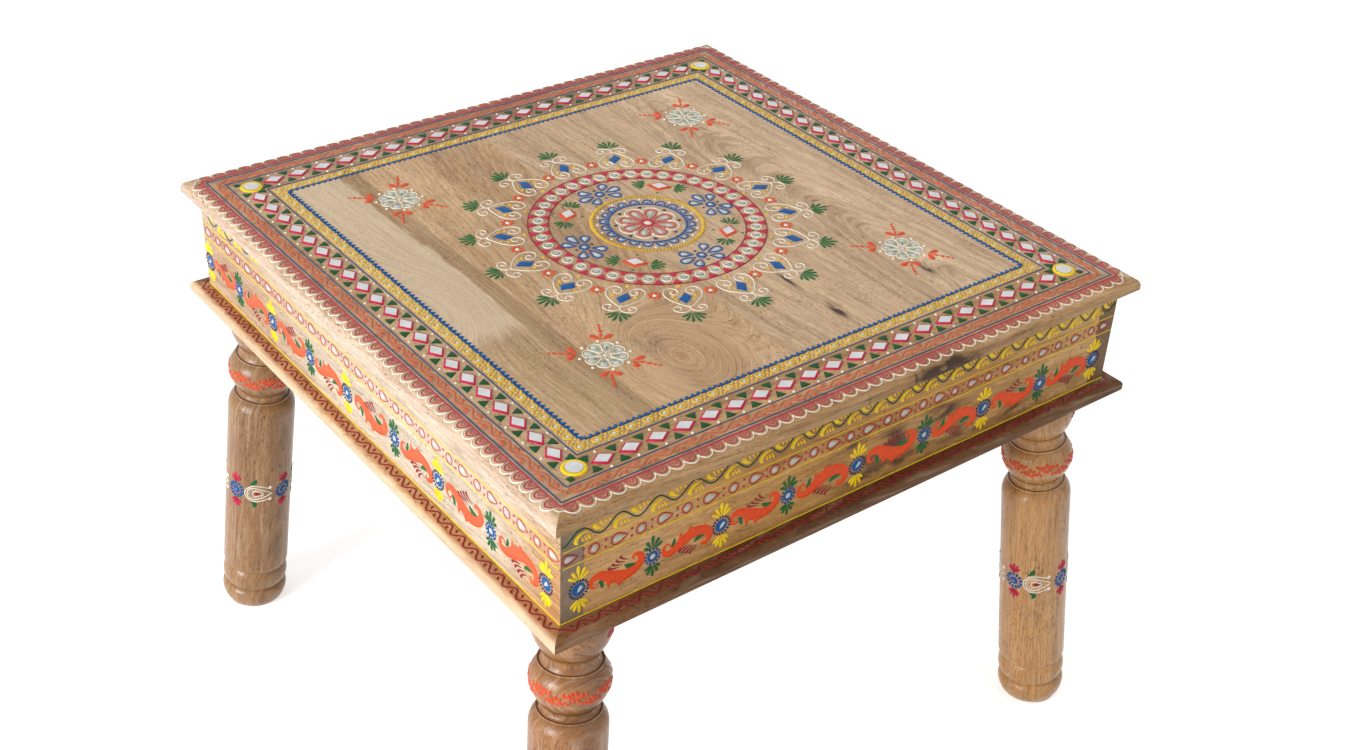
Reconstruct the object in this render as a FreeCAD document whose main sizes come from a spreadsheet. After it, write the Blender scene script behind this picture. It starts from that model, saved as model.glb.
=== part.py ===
import FreeCAD, Part
import math
import os
import re
import Sketcher
from FreeCAD import Placement, Rotation, Vector

# Low square table: a framed plank top, a deep box apron with a base moulding, and four turned
# legs that lean outwards a little. Millimetres, +Z up, origin on the floor under the centre.

os.makedirs("parts", exist_ok=True)
doc = FreeCAD.newDocument("LowTable")

# Driving dimensions
sizes = {
    "topSide": 600, "tableHeight": 474, "topThickness": 18,
    "noseThickness": 13, "noseTopRadius": 8, "noseUnderRadius": 3, "coveRadius": 3, "coveStep": 1,
    "railWidth": 60, "tongueThickness": 6, "tongueLength": 8, "tongueGap": 0.3,
    "plankOneWidth": 78, "plankTwoWidth": 135, "plankThreeWidth": 135,
    "noseOverhang": 12, "apronHeight": 98, "apronThickness": 20,
    "mouldingThickness": 12, "mouldingProjection": 14, "mouldingTopRadius": 5, "mouldingUnderRadius": 4,
    "cleatSide": 18, "battenWidth": 40, "battenThickness": 20, "battenSpacing": 220,
    "blockSide": 56, "blockHeight": 50, "blockChamfer": 8,
    "legInset": 37, "footOutset": 31.9, "legTrim": 7,
    "cupTopRadius": 30, "cupRadius": 32.5, "cupUpperLength": 20, "cupLowerLength": 26,
    "neckRadius": 22.2, "neckMouthRadius": 24.2, "upperNeckHalf": 6, "lowerNeckHalf": 4,
    "ringRadius": 26, "ringWidth": 1.8, "scribeDepth": 0.8, "scribeWidth": 0.9,
    "ballRadius": 32, "ballUpperLength": 14, "ballLowerLength": 20,
    "columnRadius": 31.5, "shoulderLength": 13, "grooveDepth": 3.8, "grooveLip": 7,
    "beadLength": 23, "footLength": 24, "footCurve": 17, "footRadius": 24,
    "boltRadius": 4, "boltInLeg": 42, "boltInBlock": 48, "boltPoint": 6, "boltGap": 0.3,
    "washerRadius": 10, "washerThickness": 1.6, "seatRadius": 12, "seatHeight": 34,
    "nutFlats": 13, "nutHeight": 6.5,
    "screwRadius": 2.5, "screwHeadRadius": 4.5, "screwHeadHeight": 2.4, "blockScrewBite": 12,
    "blockScrewInset": 13.2, "blockScrewStep": 10, "blockScrewLow": 10,
    "battenScrewRadius": 2, "battenScrewHeadRadius": 3.8, "battenScrewHeadHeight": 2, "battenScrewBite": 11,
    "chipThickness": 1.3, "chipLong": 16, "chipShort": 11, "chipPitchAcross": 24.2,
    "chipPitchAlong": 23.1, "chipBandInset": 44.5, "chipGap": 2.5,
    "cornerChipRadius": 6.7, "cornerChipInset": 47,
    "middleChipRing": 71, "middleChipLong": 15.5, "middleChipShort": 11,
    "middleShiftRight": 4, "middleShiftBack": 8,
}
sheet = doc.addObject("Spreadsheet::Sheet", "Sizes")
for row, (alias, number) in enumerate(sizes.items(), start=1):
    sheet.set(f"A{row}", alias)
    sheet.set(f"B{row}", str(number))
    sheet.setAlias(f"B{row}", alias)
doc.recompute()


def bound(text):
    """The expression with each size name pointing at its cell."""
    return re.sub(r"[A-Za-z]\w*", lambda word: "Sizes." + word[0] if word[0] in sizes else word[0], text)


def value(text):
    return float(sheet.evalExpression(bound(text)))


def bind(item, prop, text):
    item.setExpression(prop, bound(text))


# Lengths that several pieces share, as expressions of the driving dimensions
topHalf = "topSide / 2"
panelHalf = "(topSide / 2 - railWidth)"
apronHalf = "(topSide / 2 - noseOverhang)"
apronInner = "(topSide / 2 - noseOverhang - apronThickness)"
underTop = "(tableHeight - topThickness)"
legHeight = "(tableHeight - topThickness - apronHeight)"
legReach = "(topSide / 2 - noseOverhang - legInset)"
axisLength = f"sqrt({legHeight}^2 + 2 * footOutset^2)"
corners = [("front_left", -1, -1), ("front_right", 1, -1), ("back_right", 1, 1), ("back_left", -1, 1)]
sides = [("front", 0), ("right", 90), ("back", 180), ("left", 270)]


def new_body(label):
    body = doc.addObject("PartDesign::Body", label)
    body.Label = label
    return body


def origin_plane(body, role):
    return [feature for feature in body.Origin.OriginFeatures if feature.Role == role][0]


def new_sketch(body, name, role, level=None):
    """A sketch on one of the body's own origin planes, lifted by the expression level."""
    sketch = body.newObject("Sketcher::SketchObject", name)
    sketch.AttachmentSupport = [(origin_plane(body, role), "")]
    sketch.MapMode = "FlatFace"
    if level:
        bind(sketch, "AttachmentOffset.Base.z", level)
    return sketch


def pin_point(sketch, geo, end, point):
    """Fixes one end of a sketch element at a pair of expressions."""
    for kind, text in zip(("DistanceX", "DistanceY"), point):
        number = sketch.addConstraint(Sketcher.Constraint(kind, -1, 1, geo, end, value(text)))
        bind(sketch, f"Constraints[{number}]", text)


def outline(sketch, points, arcs=None):
    """A closed outline through the points. arcs maps the number of a side to the end, 0 or 1, where
    that side is an arc that starts out along the sketch's vertical."""
    arcs = arcs or {}
    spots = [Vector(value(x), value(y), 0) for x, y in points]
    ends = []
    for number, start in enumerate(spots):
        stop = spots[(number + 1) % len(spots)]
        if number in arcs:
            upright, other = (start, stop) if arcs[number] == 0 else (stop, start)
            run, rise = other.x - upright.x, other.y - upright.y
            radius = (run * run + rise * rise) / (2 * abs(run))
            centre = Vector(upright.x + math.copysign(radius, run), upright.y, 0)
            chord_middle = (start + stop) / 2
            middle = centre + (chord_middle - centre).normalize() * radius
            geo = sketch.addGeometry(Part.Arc(start, middle, stop), False)
            sketch_level = points[(number + arcs[number]) % len(points)][1]
            line = sketch.addConstraint(Sketcher.Constraint("DistanceY", -1, 1, geo, 3, centre.y))
            bind(sketch, f"Constraints[{line}]", sketch_level)
            near, far = [(sketch.getPoint(geo, end) - start).Length for end in (1, 2)]
            first = 1 if near < far else 2
            ends.append((geo, first, 3 - first))
        else:
            geo = sketch.addGeometry(Part.LineSegment(start, stop), False)
            ends.append((geo, 1, 2))
    for number, (geo, first, last) in enumerate(ends):
        following = ends[(number + 1) % len(ends)]
        sketch.addConstraint(Sketcher.Constraint("Coincident", geo, last, following[0], following[1]))
    for (geo, first, last), point in zip(ends, points):
        pin_point(sketch, geo, first, point)
    return sketch


def pad(body, sketch, length):
    feature = body.newObject("PartDesign::Pad", sketch.Name + "Pad")
    feature.Profile = sketch
    bind(feature, "Length", length)
    doc.recompute()
    return feature


def rectangle(sketch, x_low, x_high, y_low, y_high):
    return outline(sketch, [(x_low, y_low), (x_high, y_low), (x_high, y_high), (x_low, y_high)])


def outer_edges(feature, depth, level):
    """The names of a front piece's long edges at one distance from the centre and one height."""
    names = []
    for number, edge in enumerate(feature.Shape.Edges, start=1):
        box = edge.BoundBox
        near = abs(box.YMin + depth) < 1e-6 and abs(box.YMax + depth) < 1e-6
        if near and abs(box.ZMin - level) < 1e-6 and abs(box.ZMax - level) < 1e-6:
            names.append(f"Edge{number}")
    return names


def round_edge(body, feature, depth, level, radius, name):
    fillet = body.newObject("PartDesign::Fillet", name)
    fillet.Base = (feature, outer_edges(feature, value(depth), value(level)))
    bind(fillet, "Radius", radius)
    doc.recompute()
    return fillet


def turned(item, angle, height):
    """Puts a piece that was drawn on the front side onto the side at this angle."""
    item.Placement = Placement(Vector(0, 0, 0), Rotation(Vector(0, 0, 1), angle))
    bind(item, "Placement.Base.z", height)


def cylinder(name, radius, length, placement):
    item = doc.addObject("Part::Cylinder", name)
    bind(item, "Radius", radius)
    bind(item, "Height", length)
    item.Placement = placement
    return item


def cut(label, base, tools):
    """The base without the tools, as the finished piece."""
    tool = tools[0]
    if len(tools) > 1:
        tool = doc.addObject("Part::Compound", label + "_holes")
        tool.Links = tools
    item = doc.addObject("Part::Cut", label)
    item.Label = label
    item.Base = base
    item.Tool = tool
    return item


def group(label, items):
    item = doc.addObject("Part::Compound", label)
    item.Label = label
    item.Links = items
    return item


pieces = []


# Screws: one drawing for both kinds, a countersunk head on a plain shank with a point
def make_screw(name, radius, head_radius, head_height, length, placement):
    body = new_body(name)
    sketch = new_sketch(body, name + "_profile", "XZ_Plane")
    outline(sketch, [
        ("0", "0"), (head_radius, "0"), (radius, head_height),
        (radius, f"{length} - 2 * {radius}"), ("0", length)])
    turn = body.newObject("PartDesign::Revolution", name + "_turn")
    turn.Profile = sketch
    turn.ReferenceAxis = (sketch, ["V_Axis"])
    turn.Angle = 360
    body.Placement = placement
    return body


# Places of the block screws: from each block's inner faces into both apron boards
blockScrewLength = "(blockSide + blockScrewBite)"
battenScrewLength = "(battenThickness + battenScrewBite)"
screw_spots = {label: [] for label, x, y in corners}
for label, x_sign, y_sign in corners:
    face = value(f"{apronInner} - blockSide")
    side = value(f"{apronInner} - blockSide + blockScrewInset")
    for step in range(4):
        level = value(f"{legHeight} + blockScrewLow") + step * value("blockScrewStep")
        if step % 2 == 0:
            board = "left" if x_sign < 0 else "right"
            spot = Vector(x_sign * face, y_sign * side, level)
            way = Vector(x_sign, 0, 0)
        else:
            board = "front" if y_sign < 0 else "back"
            spot = Vector(x_sign * side, y_sign * face, level)
            way = Vector(0, y_sign, 0)
        screw_spots[label].append((board, Placement(spot, Rotation(Vector(0, 0, 1), way))))
blockScrews = []
for label, spots in screw_spots.items():
    for number, (board, placement) in enumerate(spots):
        blockScrews.append(make_screw(
            f"block_screw_{label}_{number}", "screwRadius", "screwHeadRadius", "screwHeadHeight",
            blockScrewLength, placement))

# Top planks, glued edge to edge, with a tongue all round the panel
plankEdges = [
    f"-{panelHalf}", f"(plankOneWidth - {panelHalf})", f"(plankOneWidth + plankTwoWidth - {panelHalf})",
    f"(plankOneWidth + plankTwoWidth + plankThreeWidth - {panelHalf})", panelHalf]
battenSpots = [-1, 1]
battenScrews = []
plankHoles = []
battenHoles = {side: [] for side in battenSpots}
for number in range(4):
    low, high = plankEdges[number], plankEdges[number + 1]
    middle = value(f"({low} + {high}) / 2")
    for side in battenSpots:
        spot = Vector(middle, side * value("battenSpacing") / 2, value(f"{underTop} - battenThickness"))
        name = f"batten_screw_{number}_{'front' if side < 0 else 'back'}"
        battenScrews.append(make_screw(
            name, "battenScrewRadius", "battenScrewHeadRadius", "battenScrewHeadHeight",
            battenScrewLength, Placement(spot, Rotation())))
        plankHoles.append((number, battenScrews[-1]))
        battenHoles[side].append(battenScrews[-1])
for number in range(4):
    low, high = plankEdges[number], plankEdges[number + 1]
    reach = f"({panelHalf} + tongueLength - tongueGap)"
    blank = new_body(f"top_plank_{number + 1}_blank")
    board = new_sketch(blank, f"plank{number + 1}", "XY_Plane")
    rectangle(board, low, high, f"-{panelHalf}", panelHalf)
    pad(blank, board, "topThickness")
    tongue_low = f"-{reach}" if number == 0 else low
    tongue_high = reach if number == 3 else high
    tongue = new_sketch(blank, f"tongue{number + 1}", "XY_Plane", "(topThickness - tongueThickness) / 2")
    rectangle(tongue, tongue_low, tongue_high, f"-{reach}", reach)
    pad(blank, tongue, "tongueThickness")
    bind(blank, "Placement.Base.z", underTop)
    holes = [screw for owner, screw in plankHoles if owner == number]
    pieces.append(cut(f"top_plank_{number + 1}", blank, holes))


def mitred_strip(sketch, outer, inner):
    """The plan of a front strip whose ends are mitred."""
    return outline(sketch, [
        (f"-{outer}", f"-{outer}"), (outer, f"-{outer}"), (inner, f"-{inner}"), (f"-{inner}", f"-{inner}")])


# Rim of the top: four mitred rails with a rounded nose, a small cove under it and a groove inside
for side, angle in sides:
    rail = new_body(f"top_rail_{side}")
    lower = new_sketch(rail, f"railLower_{side}", "XY_Plane")
    mitred_strip(lower, f"({apronHalf} + coveStep)", panelHalf)
    pad(rail, lower, "topThickness")
    upper = new_sketch(rail, f"railNose_{side}", "XY_Plane", "topThickness - noseThickness")
    mitred_strip(upper, topHalf, panelHalf)
    nose = pad(rail, upper, "noseThickness")
    level = "topThickness - noseThickness"
    nose = round_edge(rail, nose, topHalf, "topThickness", "noseTopRadius", f"noseTop_{side}")
    nose = round_edge(rail, nose, topHalf, level, "noseUnderRadius", f"noseUnder_{side}")
    nose = round_edge(rail, nose, f"{apronHalf} + coveStep", level, "coveRadius", f"cove_{side}")
    groove_foot = "(topThickness - tongueThickness - tongueGap) / 2"
    slot = new_sketch(rail, f"railGroove_{side}", "XY_Plane", groove_foot)
    reach = f"({panelHalf} + tongueLength)"
    rectangle(slot, f"-{reach}", reach, f"-{reach}", "0")
    groove = rail.newObject("PartDesign::Pocket", f"groove_{side}")
    groove.Profile = slot
    groove.Reversed = True
    bind(groove, "Length", "tongueThickness + tongueGap")
    before = nose.Shape.Volume
    doc.recompute()
    assert groove.Shape.Volume < before, "the rail's groove cut nothing"
    turned(rail, angle, underTop)
    pieces.append(rail)

# Apron: the left and right boards run through, the front and back boards stand between them
for side, angle in sides:
    through = side in ("left", "right")
    blank = new_body(f"apron_{side}_blank")
    reach = apronHalf if through else apronInner
    board = new_sketch(blank, f"apron_{side}_plan", "XY_Plane")
    rectangle(board, f"-{reach}", reach, f"-{apronHalf}", f"-{apronInner}")
    pad(blank, board, "apronHeight")
    turned(blank, angle, legHeight)
    holes = []
    for (label, spots) in screw_spots.items():
        for number, (owner, placement) in enumerate(spots):
            if owner == side:
                holes.append(doc.getObject(f"block_screw_{label}_{number}"))
    pieces.append(cut(f"apron_{side}", blank, holes))

# Base moulding: four mitred strips with a rounded outer edge
for side, angle in sides:
    strip = new_body(f"base_moulding_{side}")
    plan = new_sketch(strip, f"moulding_{side}_plan", "XY_Plane")
    outer = f"({apronHalf} + mouldingProjection)"
    mitred_strip(plan, outer, apronHalf)
    shape = pad(strip, plan, "mouldingThickness")
    shape = round_edge(strip, shape, outer, "mouldingThickness", "mouldingTopRadius", f"mouldingTop_{side}")
    round_edge(strip, shape, outer, "0", "mouldingUnderRadius", f"mouldingUnder_{side}")
    turned(strip, angle, legHeight)
    pieces.append(strip)

# Glue strips between the top and the apron
for side, angle in sides:
    through = side in ("front", "back")
    strip = new_body(f"glue_strip_{side}")
    reach = apronInner if through else f"({apronInner} - cleatSide)"
    plan = new_sketch(strip, f"glue_strip_{side}_plan", "XY_Plane")
    rectangle(plan, f"-{reach}", reach, f"-{apronInner}", f"cleatSide - {apronInner}")
    pad(strip, plan, "cleatSide")
    turned(strip, angle, f"{underTop} - cleatSide")
    pieces.append(strip)

# Battens across the planks
for side in battenSpots:
    label = f"batten_{'front' if side < 0 else 'back'}"
    blank = new_body(label + "_blank")
    reach = f"({apronInner} - cleatSide)"
    middle = f"{side} * battenSpacing / 2"
    plan = new_sketch(blank, label + "_plan", "XY_Plane")
    rectangle(plan, f"-{reach}", reach, f"{middle} - battenWidth / 2", f"{middle} + battenWidth / 2")
    pad(blank, plan, "battenThickness")
    bind(blank, "Placement.Base.z", f"{underTop} - battenThickness")
    pieces.append(cut(label, blank, battenHoles[side]))

# Legs. Each is turned about its own axis, leans outwards along the diagonal and is cut level at
# both ends. s counts down the axis from the underside of the apron.
upper_neck = "(cupUpperLength + cupLowerLength)"
ball_top = f"({upper_neck} + 2 * upperNeckHalf + ringWidth)"
ball_foot = f"({ball_top} + ballUpperLength + ballLowerLength)"
column_top = f"({ball_foot} + 2 * lowerNeckHalf + ringWidth + shoulderLength)"
foot_groove = f"({axisLength} - footLength)"
column_foot = f"({axisLength} - footLength - beadLength)"
grooveRadius = "(columnRadius - grooveDepth)"


def neck(start, half):
    """The hollow between a scribed line and the ring below it."""
    return [
        ("(neckMouthRadius - scribeDepth)", f"-({start} + scribeWidth / 2)"),
        ("neckMouthRadius", f"-({start} + scribeWidth)"),
        ("neckRadius", f"-({start} + {half})"),
        ("neckMouthRadius", f"-({start} + 2 * {half})"),
        ("ringRadius", f"-({start} + 2 * {half})"),
        ("ringRadius", f"-({start} + 2 * {half} + ringWidth)"),
    ]


legPoints = [
    ("0", "legTrim"), ("cupTopRadius", "legTrim"), ("cupTopRadius", "0"),
    ("cupRadius", "-cupUpperLength"), ("neckMouthRadius", f"-{upper_neck}"),
    *neck(upper_neck, "upperNeckHalf"),
    ("neckMouthRadius + scribeDepth", f"-({ball_top})"),
    ("ballRadius", f"-({ball_top} + ballUpperLength)"), ("neckMouthRadius", f"-{ball_foot}"),
    *neck(ball_foot, "lowerNeckHalf"),
    ("neckMouthRadius + scribeDepth", f"-({column_top} - shoulderLength)"),
    ("columnRadius", f"-{column_top}"), ("columnRadius", f"-({column_foot} - grooveLip)"),
    (grooveRadius, f"-{column_foot}"), ("columnRadius", f"-({column_foot} + beadLength / 2)"),
    (grooveRadius, f"-{foot_groove}"), ("columnRadius", f"-({axisLength} - footCurve)"),
    ("footRadius", f"-{axisLength}"), ("footRadius", f"-({axisLength} + legTrim)"),
    ("0", f"-({axisLength} + legTrim)"),
]
# For each arc, the end where it stands upright
legArcs = {2: 1, 3: 0, 6: 1, 7: 0, 11: 1, 12: 0, 15: 1, 16: 0, 20: 1, 22: 0, 23: 1, 24: 0, 25: 1, 26: 0}

boltReach = "(boltInLeg + boltInBlock)"
bolts, washers, nuts = [], [], []
for label, x_sign, y_sign in corners:
    lean = math.degrees(math.atan2(value("footOutset") * math.sqrt(2), value(legHeight)))
    reach = value(legReach)
    stand = Placement(
        Vector(x_sign * reach, y_sign * reach, value(legHeight)),
        Rotation(Vector(y_sign, -x_sign, 0), lean))
    blank = new_body(f"leg_{label}_blank")
    profile = outline(new_sketch(blank, f"leg_{label}_profile", "XZ_Plane"), legPoints, legArcs)
    turn = blank.newObject("PartDesign::Revolution", f"leg_{label}_turn")
    turn.Profile = profile
    turn.ReferenceAxis = (profile, ["V_Axis"])
    turn.Angle = 360
    blank.Placement = stand
    slab = doc.addObject("Part::Box", f"leg_{label}_slab")
    bind(slab, "Length", "topSide")
    bind(slab, "Width", "topSide")
    bind(slab, "Height", legHeight)
    slab_corner = Vector(min(x_sign, 0) * value("topSide"), min(y_sign, 0) * value("topSide"), 0)
    slab.Placement = Placement(slab_corner, Rotation())
    level = doc.addObject("Part::Common", f"leg_{label}_level")
    level.Base = blank
    level.Tool = slab
    bore = cylinder(f"leg_{label}_bore", "boltRadius", "boltInLeg + legTrim",
                    stand.multiply(Placement(Vector(0, 0, -value("boltInLeg")), Rotation())))
    pieces.append(cut(f"leg_{label}", level, [bore]))

    # Hanger bolt, washer and nut on the leg's own axis
    bolt = new_body(f"hanger_bolt_{label}")
    profile = new_sketch(bolt, f"bolt_{label}_profile", "XZ_Plane")
    outline(profile, [
        ("0", "-boltInLeg"), ("boltRadius", "boltPoint - boltInLeg"),
        ("boltRadius", "boltInBlock"), ("0", "boltInBlock")])
    turn = bolt.newObject("PartDesign::Revolution", f"bolt_{label}_turn")
    turn.Profile = profile
    turn.ReferenceAxis = (profile, ["V_Axis"])
    turn.Angle = 360
    bolt.Placement = stand
    bolts.append(bolt)
    seat = stand.multiply(Placement(Vector(0, 0, value("seatHeight")), Rotation()))
    disc = cylinder(f"washer_{label}_disc", "washerRadius", "washerThickness", seat)
    hole = cylinder(f"washer_{label}_hole", "boltRadius + boltGap", "washerThickness", seat)
    washers.append(cut(f"washer_{label}", disc, [hole]))
    top_seat = stand.multiply(Placement(Vector(0, 0, value("seatHeight + washerThickness")), Rotation()))
    prism = doc.addObject("Part::Prism", f"nut_{label}_prism")
    bind(prism, "Circumradius", "nutFlats / sqrt(3)")
    bind(prism, "Height", "nutHeight")
    prism.Placement = top_seat
    thread = cylinder(f"nut_{label}_thread", "boltRadius", "nutHeight", top_seat)
    nuts.append(cut(f"nut_{label}", prism, [thread]))

    # Corner block with its leaning bolt hole, a seat for the washer, and screw holes
    blank = new_body(f"corner_block_{label}_blank")
    inner = f"({apronInner} - blockSide)"
    plan = new_sketch(blank, f"corner_block_{label}_plan", "XY_Plane")
    outline(plan, [
        (f"{inner} + blockChamfer", inner), (apronInner, inner), (apronInner, apronInner),
        (inner, apronInner), (inner, f"{inner} + blockChamfer")])
    pad(blank, plan, "blockHeight")
    turned(blank, {(1, 1): 0, (-1, 1): 90, (-1, -1): 180, (1, -1): 270}[(x_sign, y_sign)], legHeight)
    hole = cylinder(f"corner_block_{label}_bore", "boltRadius + boltGap", "blockHeight + legTrim",
                    stand.multiply(Placement(Vector(0, 0, -value("legTrim") / 2), Rotation())))
    recess = cylinder(f"corner_block_{label}_seat", "seatRadius", "blockHeight", seat)
    screws = [doc.getObject(f"block_screw_{label}_{number}") for number in range(4)]
    pieces.append(cut(f"corner_block_{label}", blank, [hole, recess, *screws]))

pieces += [group("hanger_bolts", bolts), group("washers", washers), group("nuts", nuts)]
pieces += [group("block_screws", blockScrews), group("batten_screws", battenScrews)]


# Mirror chips glued to the top
def chip_plan(sketch, half_x, half_y, x, y):
    return outline(sketch, [
        (f"{x} - {half_x}", y), (x, f"{y} - {half_y}"), (f"{x} + {half_x}", y), (x, f"{y} + {half_y}")])


for side, angle in sides:
    row = new_body(f"border_mirrors_{side}")
    pitch = "chipPitchAcross" if side in ("front", "back") else "chipPitchAlong"
    room = value(f"{topHalf} - cornerChipInset - cornerChipRadius - chipGap - chipLong / 2")
    count = int(2 * room / value(pitch)) + 1
    plan = new_sketch(row, f"chip_{side}", "XY_Plane")
    first = f"(-{count - 1} * {pitch} / 2)"
    chip_plan(plan, "chipLong / 2", "chipShort / 2", first, f"(chipBandInset - {topHalf})")
    chip = pad(row, plan, "chipThickness")
    line = row.newObject("PartDesign::LinearPattern", f"chips_{side}")
    line.Originals = [chip]
    line.Direction = (plan, ["H_Axis"])
    line.Occurrences = count
    bind(line, "Length", f"{count - 1} * {pitch}")
    row.Tip = line
    turned(row, angle, "tableHeight")
    pieces.append(row)


def four_round(label, chip_sketch):
    """Four copies of one chip round the middle of the top."""
    row = chip_sketch.getParentGeoFeatureGroup()
    chip = pad(row, chip_sketch, "chipThickness")
    ring = row.newObject("PartDesign::PolarPattern", label + "_ring")
    ring.Originals = [chip]
    ring.Axis = (chip_sketch, ["N_Axis"])
    ring.Angle = 360
    ring.Occurrences = 4
    row.Tip = ring
    bind(row, "Placement.Base.z", "tableHeight")
    pieces.append(row)


disc = new_sketch(new_body("corner_mirrors"), "corner_chip", "XY_Plane")
away = f"({topHalf} - cornerChipInset)"
centre = Vector(value(away), value(away), 0)
rim = Part.Circle(centre, Vector(0, 0, 1), value("cornerChipRadius"))
circle = disc.addGeometry(rim, False)
pin_point(disc, circle, 3, (away, away))
radius = disc.addConstraint(Sketcher.Constraint("Radius", circle, value("cornerChipRadius")))
bind(disc, f"Constraints[{radius}]", "cornerChipRadius")
four_round("corner_mirrors", disc)

# The middle ornament was painted by hand and sits a little off the centre of the top
diamond = new_sketch(new_body("middle_mirrors"), "middle_chip", "XY_Plane")
diamond.AttachmentOffset = Placement(Vector(0, 0, 0), Rotation(Vector(0, 0, 1), 45))
bind(diamond, "AttachmentOffset.Base.x", "middleShiftRight")
bind(diamond, "AttachmentOffset.Base.y", "middleShiftBack")
chip_plan(diamond, "middleChipLong / 2", "middleChipShort / 2", "0", "middleChipRing")
four_round("middle_mirrors", diamond)

doc.recompute()

# Every object and every piece is sound before anything is written
for item in doc.Objects:
    assert "Invalid" not in item.State and "Error" not in item.State, f"{item.Label} failed: {item.State}"
for piece in pieces:
    assert not piece.Shape.isNull() and piece.Shape.isValid(), f"{piece.Label} has no valid shape"
for piece in pieces:
    piece.Shape.exportStep(f"parts/{piece.Label}.step")
print(len(pieces), "pieces written")
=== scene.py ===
import math
import random

import bpy
import numpy as np
from mathutils import Matrix, Vector
from mathutils.bvhtree import BVHTree


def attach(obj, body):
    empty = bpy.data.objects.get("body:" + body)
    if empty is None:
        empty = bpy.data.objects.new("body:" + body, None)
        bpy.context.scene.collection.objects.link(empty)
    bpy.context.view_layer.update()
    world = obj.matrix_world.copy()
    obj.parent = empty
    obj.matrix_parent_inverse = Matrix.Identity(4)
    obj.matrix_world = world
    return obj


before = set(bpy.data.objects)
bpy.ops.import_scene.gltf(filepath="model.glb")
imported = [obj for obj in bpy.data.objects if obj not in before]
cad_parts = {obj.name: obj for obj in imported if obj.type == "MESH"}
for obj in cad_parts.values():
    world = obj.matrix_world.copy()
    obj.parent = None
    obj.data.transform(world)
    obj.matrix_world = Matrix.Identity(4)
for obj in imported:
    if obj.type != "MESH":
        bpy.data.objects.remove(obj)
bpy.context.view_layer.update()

# Lengths are in millimetres until a mesh is made, then in metres
mm = 0.001
turn = 2 * math.pi
vary = random.Random(7).uniform  # the small unevenness of painting by hand

table = dict(
    topHalf=300, topHeight=474, noseRound=8, apronHalf=288, apronFoot=358,
    mouldingFlat=9, mouldingRound=5, mouldingTop=370, legTop=251, legFoot=282.9,
)
corners = {"front_left": (-1, -1), "front_right": (1, -1), "back_right": (1, 1), "back_left": (-1, 1)}


def addToScene(name, data):
    item = bpy.data.objects.new(name, data)
    bpy.context.scene.collection.objects.link(item)
    return item


# Camera
camera = dict(
    place=(-0.8210, -1.0697, 1.2101), azimuth=-39.05, elevation=33.36, roll=2.94,
    lens=46.25, sensor=36, nearest=0.05, farthest=50,
)


def makeCamera(look):
    azimuth, elevation, roll = (math.radians(look[key]) for key in ("azimuth", "elevation", "roll"))
    back = Vector((math.sin(azimuth) * math.cos(elevation), -math.cos(azimuth) * math.cos(elevation),
                   math.sin(elevation)))
    right = Vector((0, 0, 1)).cross(back).normalized()
    up = back.cross(right)
    tiltedRight = right * math.cos(roll) + up * math.sin(roll)
    tiltedUp = up * math.cos(roll) - right * math.sin(roll)
    data = bpy.data.cameras.new("camera")
    data.lens, data.sensor_width = look["lens"], look["sensor"]
    data.clip_start, data.clip_end = look["nearest"], look["farthest"]
    item = addToScene("camera", data)
    axes = Matrix((tiltedRight, tiltedUp, back)).transposed().to_4x4()
    item.matrix_world = Matrix.Translation(look["place"]) @ axes
    bpy.context.scene.camera = item


makeCamera(camera)
print("camera placed")


# Node materials. A colour is given as it looks on a screen, from 0 to 255.
def colour(*parts):
    shares = [part / 255 for part in parts]
    return (*(share / 12.92 if share < 0.04045 else ((share + 0.055) / 1.055) ** 2.4 for share in shares), 1)


class Share:
    # a node's output. Sums are written with it as with a number, and each adds a math node

    def __init__(self, sheet, socket):
        self.sheet, self.socket = sheet, socket

    def __add__(self, other):
        return self.sheet.sums("ADD", self, other)

    def __sub__(self, other):
        return self.sheet.sums("SUBTRACT", self, other)

    def __rsub__(self, other):
        return self.sheet.sums("SUBTRACT", other, self)

    def __mul__(self, other):
        return self.sheet.sums("MULTIPLY", self, other)

    def __truediv__(self, other):
        return self.sheet.sums("DIVIDE", self, other)

    def __pow__(self, other):
        return self.sheet.sums("POWER", self, other)

    def __rpow__(self, other):
        return self.sheet.sums("POWER", other, self)


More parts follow.
